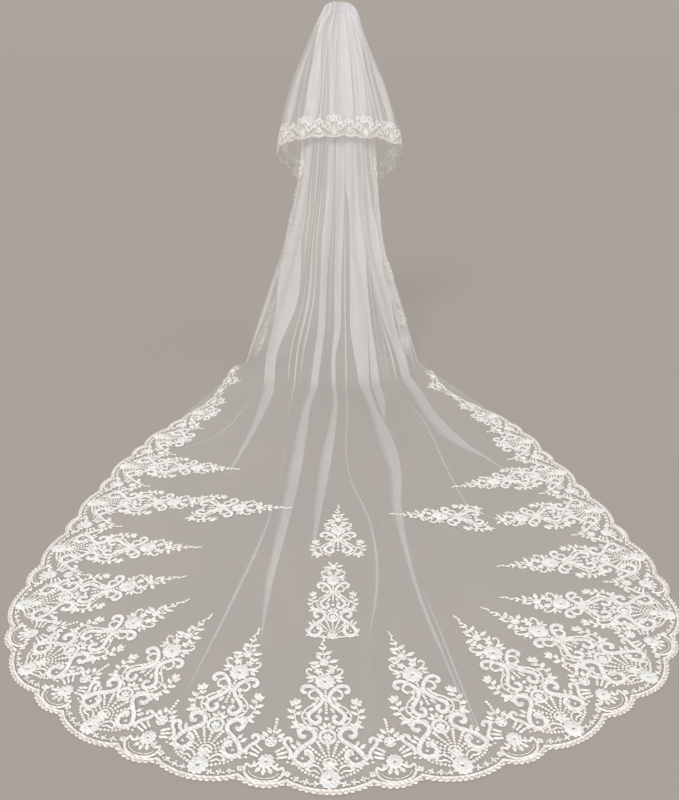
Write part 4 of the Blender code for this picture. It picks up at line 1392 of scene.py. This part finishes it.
# %% Lace up the long tier's edges
EDGE_TOP = 0.98
EDGE_FOOT = 0.012
EDGE_REPEATS = 4
EDGE_NARROW = 0.62  # its depth next to its length, as a share of the train's
STEP_COLUMNS = 40  # columns over which the cloth's own spacing is measured
edge_strip = motif_of(big_border, add_foot, add_shell, bold=HEM_BOLD)


def edge_lace(side):
    column = 0 if side < 0 else SAMPLES - 1
    hanging = long_form[: HANGING_STEPS + 1]
    line = hanging[:, column]
    heights = line[:, 2] + COMB_HEIGHT
    lowest = np.argmax(heights < EDGE_FOOT)
    highest = np.argmax(heights < EDGE_TOP)
    lengths = along_line(line)
    scale = (lengths[lowest] - lengths[highest]) / (EDGE_REPEATS * REPEAT)
    further_in = hanging[:, column - STEP_COLUMNS * side]
    step = np.linalg.norm(further_in - line, axis=1) / STEP_COLUMNS
    laid = []
    for k in range(EDGE_REPEATS):
        for motif, place in ((edge_strip, BIG_LOBE / 2), (hem_small, BIG_LOBE + SMALL_LOBE / 2)):
            centre = lengths[lowest] - (k * REPEAT + place) * scale
            points = motif["points"] * MM * scale
            row = np.interp(centre + side * points[:, 0], lengths, np.arange(len(lengths)))
            here = np.interp(row, np.arange(len(step)), step)
            across = column - side * points[:, 1] * EDGE_NARROW / here
            placed = on_surface(hanging, long_normals, row, across, CLOTH_GAP + points[:, 2])
            laid.append((motif, placed))
    return laid


lace_pieces.append(lace_piece("edge_lace_left", edge_lace(-1), "left_edge_lace"))
lace_pieces.append(lace_piece("edge_lace_right", edge_lace(1), "right_edge_lace"))

# %% [markdown]
# Both tiers are gathered on one heading, a satin-bound roll that lies on the comb's bar,
# and strong thread is whipped over the roll and the bar between the teeth. The comb is
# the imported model's own, in plain polished wire-comb metal.


# %% Heading, stitches and comb
def tube(path, across, radius, sides):
    """A round cord along a path. across is a direction that no part of it runs along."""
    way = unit(np.gradient(path, axis=0))
    one = np.broadcast_to(np.array(across, float), path.shape)
    two = unit(np.cross(way, one))
    angle = np.linspace(0, 2 * pi, sides, endpoint=False)[None, :, None]
    ring = np.cos(angle) * one[:, None] + np.sin(angle) * two[:, None]
    points = path[:, None] + ring * np.asarray(radius, float)[:, None, None]
    corner = np.arange(len(path) * sides).reshape(len(path), sides)
    after = np.roll(corner, -1, axis=1)
    faces = np.stack([corner[:-1], after[:-1], after[1:], corner[1:]], axis=-1)
    return points.reshape(-1, 3), faces.reshape(-1, 4).tolist()


HEADING_HALF = 45.5 * MM
HEADING_Y, HEADING_Z = -4.0 * MM, 3.6 * MM  # behind and above the comb's seat
HEADING_RADIUS, HEADING_TIP, HEADING_SWELL = 3.4 * MM, 0.05 * MM, 0.10
STITCHES = 24
STITCH_RADIUS = 0.42 * MM
STITCH_Y, STITCH_Z = -4.4 * MM, 2.5 * MM  # the middle of each loop
STITCH_DEEP, STITCH_HIGH = 5.6, 4.9  # half a loop's size, in millimetres
along_roll = np.linspace(-1.0, 1.0, 240)
roll = np.zeros((240, 3)) + (0, HEADING_Y, HEADING_Z)
roll[:, 0] = HEADING_HALF * along_roll
roll_end = np.sqrt(np.clip(1 - np.abs(along_roll) ** 24, 0.0, 1.0))
roll_swell = 1 + HEADING_SWELL * np.cos(along_roll * STITCHES * pi)
roll_radius = HEADING_RADIUS * roll_end * roll_swell + HEADING_TIP
heading = new_piece("gathered_heading", *tube(roll, (0, 0, 1), roll_radius, 14), [rayon_thread])

stitches = []
turn = np.linspace(0, 2 * pi, 33)
for k in range(STITCHES):
    middle = HEADING_HALF * (2 * (k + 0.5) / STITCHES - 1)
    x = middle + 0.9 * MM * np.sin(turn) + 0.3 * MM * np.sin(5 * k)
    y = STITCH_Y + (STITCH_DEEP + 0.3 * np.sin(7 * k)) * MM * np.cos(turn)
    z = STITCH_Z + STITCH_HIGH * MM * np.sin(turn)
    loop = np.column_stack([x, y, z])
    stitches.append(tube(loop, (1, 0, 0), np.full(33, STITCH_RADIUS), 6))
comb_stitches = new_piece("comb_stitches", *joined(stitches), [cord_thread])
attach(heading, "root")
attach(comb_stitches, "root")


def comb_finish():
    """Drawn steel wire, polished, with fine lines along it and faint wear."""
    finish, tree, shader = new_finish("polished_comb_steel")
    place = add_node(tree, "ShaderNodeTexCoord")
    wear = add_node(
        tree, "ShaderNodeTexNoise", None, {"Vector": place.outputs["Object"]},
        Scale=180.0, Detail=5.0, Roughness=0.6,
    )
    drawn = add_node(
        tree, "ShaderNodeTexWave", {"wave_type": "BANDS", "bands_direction": "X"},
        {"Vector": place.outputs["Object"]}, Scale=120.0, Distortion=4.0, Detail=3.0,
    )
    gloss = add_node(tree, "ShaderNodeMapRange", None, {"Value": wear.outputs["Fac"]})
    gloss.inputs["To Min"].default_value = 0.16
    gloss.inputs["To Max"].default_value = 0.34
    shade = add_node(
        tree, "ShaderNodeValToRGB", {"shades": ((0.0, "#c3c5c8"), (1.0, "#dcdee0"))},
        {"Fac": wear.outputs["Fac"]},
    )
    bump = add_node(
        tree, "ShaderNodeBump", None, {"Height": drawn.outputs["Fac"]},
        Strength=0.15, Distance=0.05 * MM,
    )
    tree.links.new(shade.outputs["Color"], shader.inputs["Base Color"])
    tree.links.new(gloss.outputs["Result"], shader.inputs["Roughness"])
    tree.links.new(bump.outputs["Normal"], shader.inputs["Normal"])
    shader.inputs["Metallic"].default_value = 1.0
    return finish


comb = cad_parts["comb"]
steel = comb_finish()
for slot in comb.material_slots:
    slot.material = steel
print("comb finish on", len(comb.material_slots), "slot")

# %% [markdown]
# The room is a plain pale floor under even light, with a large soft key from behind the
# camera, a fill from the right and a weaker lamp from the far side, so that the lace
# reads from every side. The room's own light has the floor's tone at the horizon and is
# a little paler higher up, so the floor has no visible end. White cloth in many layers
# needs light to pass more layers than usual. The camera stands where the photograph's
# did: 3.7 m behind the comb and 0.4 m below it, looking down by 22 degrees. The Standard
# view keeps white thread white, as the photograph does.


# %% Floor, lights and camera
FLOOR_SIZE = 600.0
FLOOR_TONE, HORIZON_TONE, ROOM_TONE = "#a8a29c", "#aaa29a", "#b9b6b3"
matt_paint, _, floor_shader = new_finish("pale_studio_floor")
floor_shader.inputs["Base Color"].default_value = colour(FLOOR_TONE)
floor_shader.inputs["Roughness"].default_value = 1.0
floor_shader.inputs["Specular IOR Level"].default_value = 0.0
bpy.ops.mesh.primitive_plane_add(size=FLOOR_SIZE, location=(0.0, 0.0, FLOOR))
studio_floor = bpy.context.object
studio_floor.name = "studio_floor"
studio_floor.data.materials.append(matt_paint)
studio_floor.select_set(False)


def sun_light(name, towards, strength, width, tint):
    """A distant lamp that shines along a direction, with soft edges to its shadows."""
    lamp = bpy.data.lights.new(name, "SUN")
    lamp.energy = strength
    lamp.angle = radians(width)
    lamp.color = colour(tint)[:3]
    holder = bpy.data.objects.new(name, lamp)
    bpy.context.scene.collection.objects.link(holder)
    x, y, z = towards
    holder.rotation_euler = (float(np.arctan2(np.hypot(x, y), -z)), 0.0, float(np.arctan2(-x, y)))


sun_light("key_light", (0.20, 0.82, -0.56), 1.70, 24, "#fffdfb")
sun_light("fill_light", (-0.75, 0.35, -0.60), 0.60, 60, "#fafcff")
sun_light("far_light", (0.20, -0.72, -0.60), 0.75, 50, "#fffefc")
room = bpy.data.worlds.new("soft_room")
bpy.context.scene.world = room
room.use_nodes = True
way = add_node(room.node_tree, "ShaderNodeTexCoord")
height = add_node(
    room.node_tree, "ShaderNodeSeparateXYZ", None, {"Vector": way.outputs["Generated"]}
)
tone = add_node(
    room.node_tree, "ShaderNodeValToRGB", {"shades": ((0.02, HORIZON_TONE), (0.60, ROOM_TONE))},
    {"Fac": height.outputs["Z"]},
)
room_colour = room.node_tree.nodes["Background"].inputs["Color"]
room.node_tree.links.new(tone.outputs["Color"], room_colour)
bpy.context.scene.view_settings.view_transform = "Standard"
bpy.context.scene.cycles.transparent_max_bounces = 48

CAMERA_PLACE = (0.0, -3.725, -0.40)
CAMERA_DOWN = 21.76
FOCAL_LENGTH = 32.97
lens = bpy.data.cameras.new("photo_camera")
lens.lens = FOCAL_LENGTH
lens.sensor_width = 36.0
lens.sensor_fit = "AUTO"
camera = bpy.data.objects.new("photo_camera", lens)
bpy.context.scene.collection.objects.link(camera)
camera.location = CAMERA_PLACE
camera.rotation_euler = (pi / 2 - radians(CAMERA_DOWN), 0.0, 0.0)
bpy.context.scene.camera = camera

# %% [markdown]
# Each tier is put under the root, and the model's tulle parts that it stands for are
# hidden. Each tier is one sheet, gathered on the comb, with its lace sewn on. The long
# tier was cut 1.90 m wide and 3.95 m long with a rounded end, and the short one 1.35 m
# wide and 0.80 m long with rounded corners. Both sizes are read off the photograph: the
# train's width on the floor with its folds opened, and the length from the comb down
# and along the middle of the train.

# %% Pieces and sheets
laces = {piece.name: piece for piece in lace_pieces}
short_laces = [laces.pop("short_tier_lace")]
for tier, nodes in ((long_tier, ("drop_tulle", "train_tulle")), (short_tier, ("upper_tulle",))):
    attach(tier, "root")
    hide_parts(*nodes)
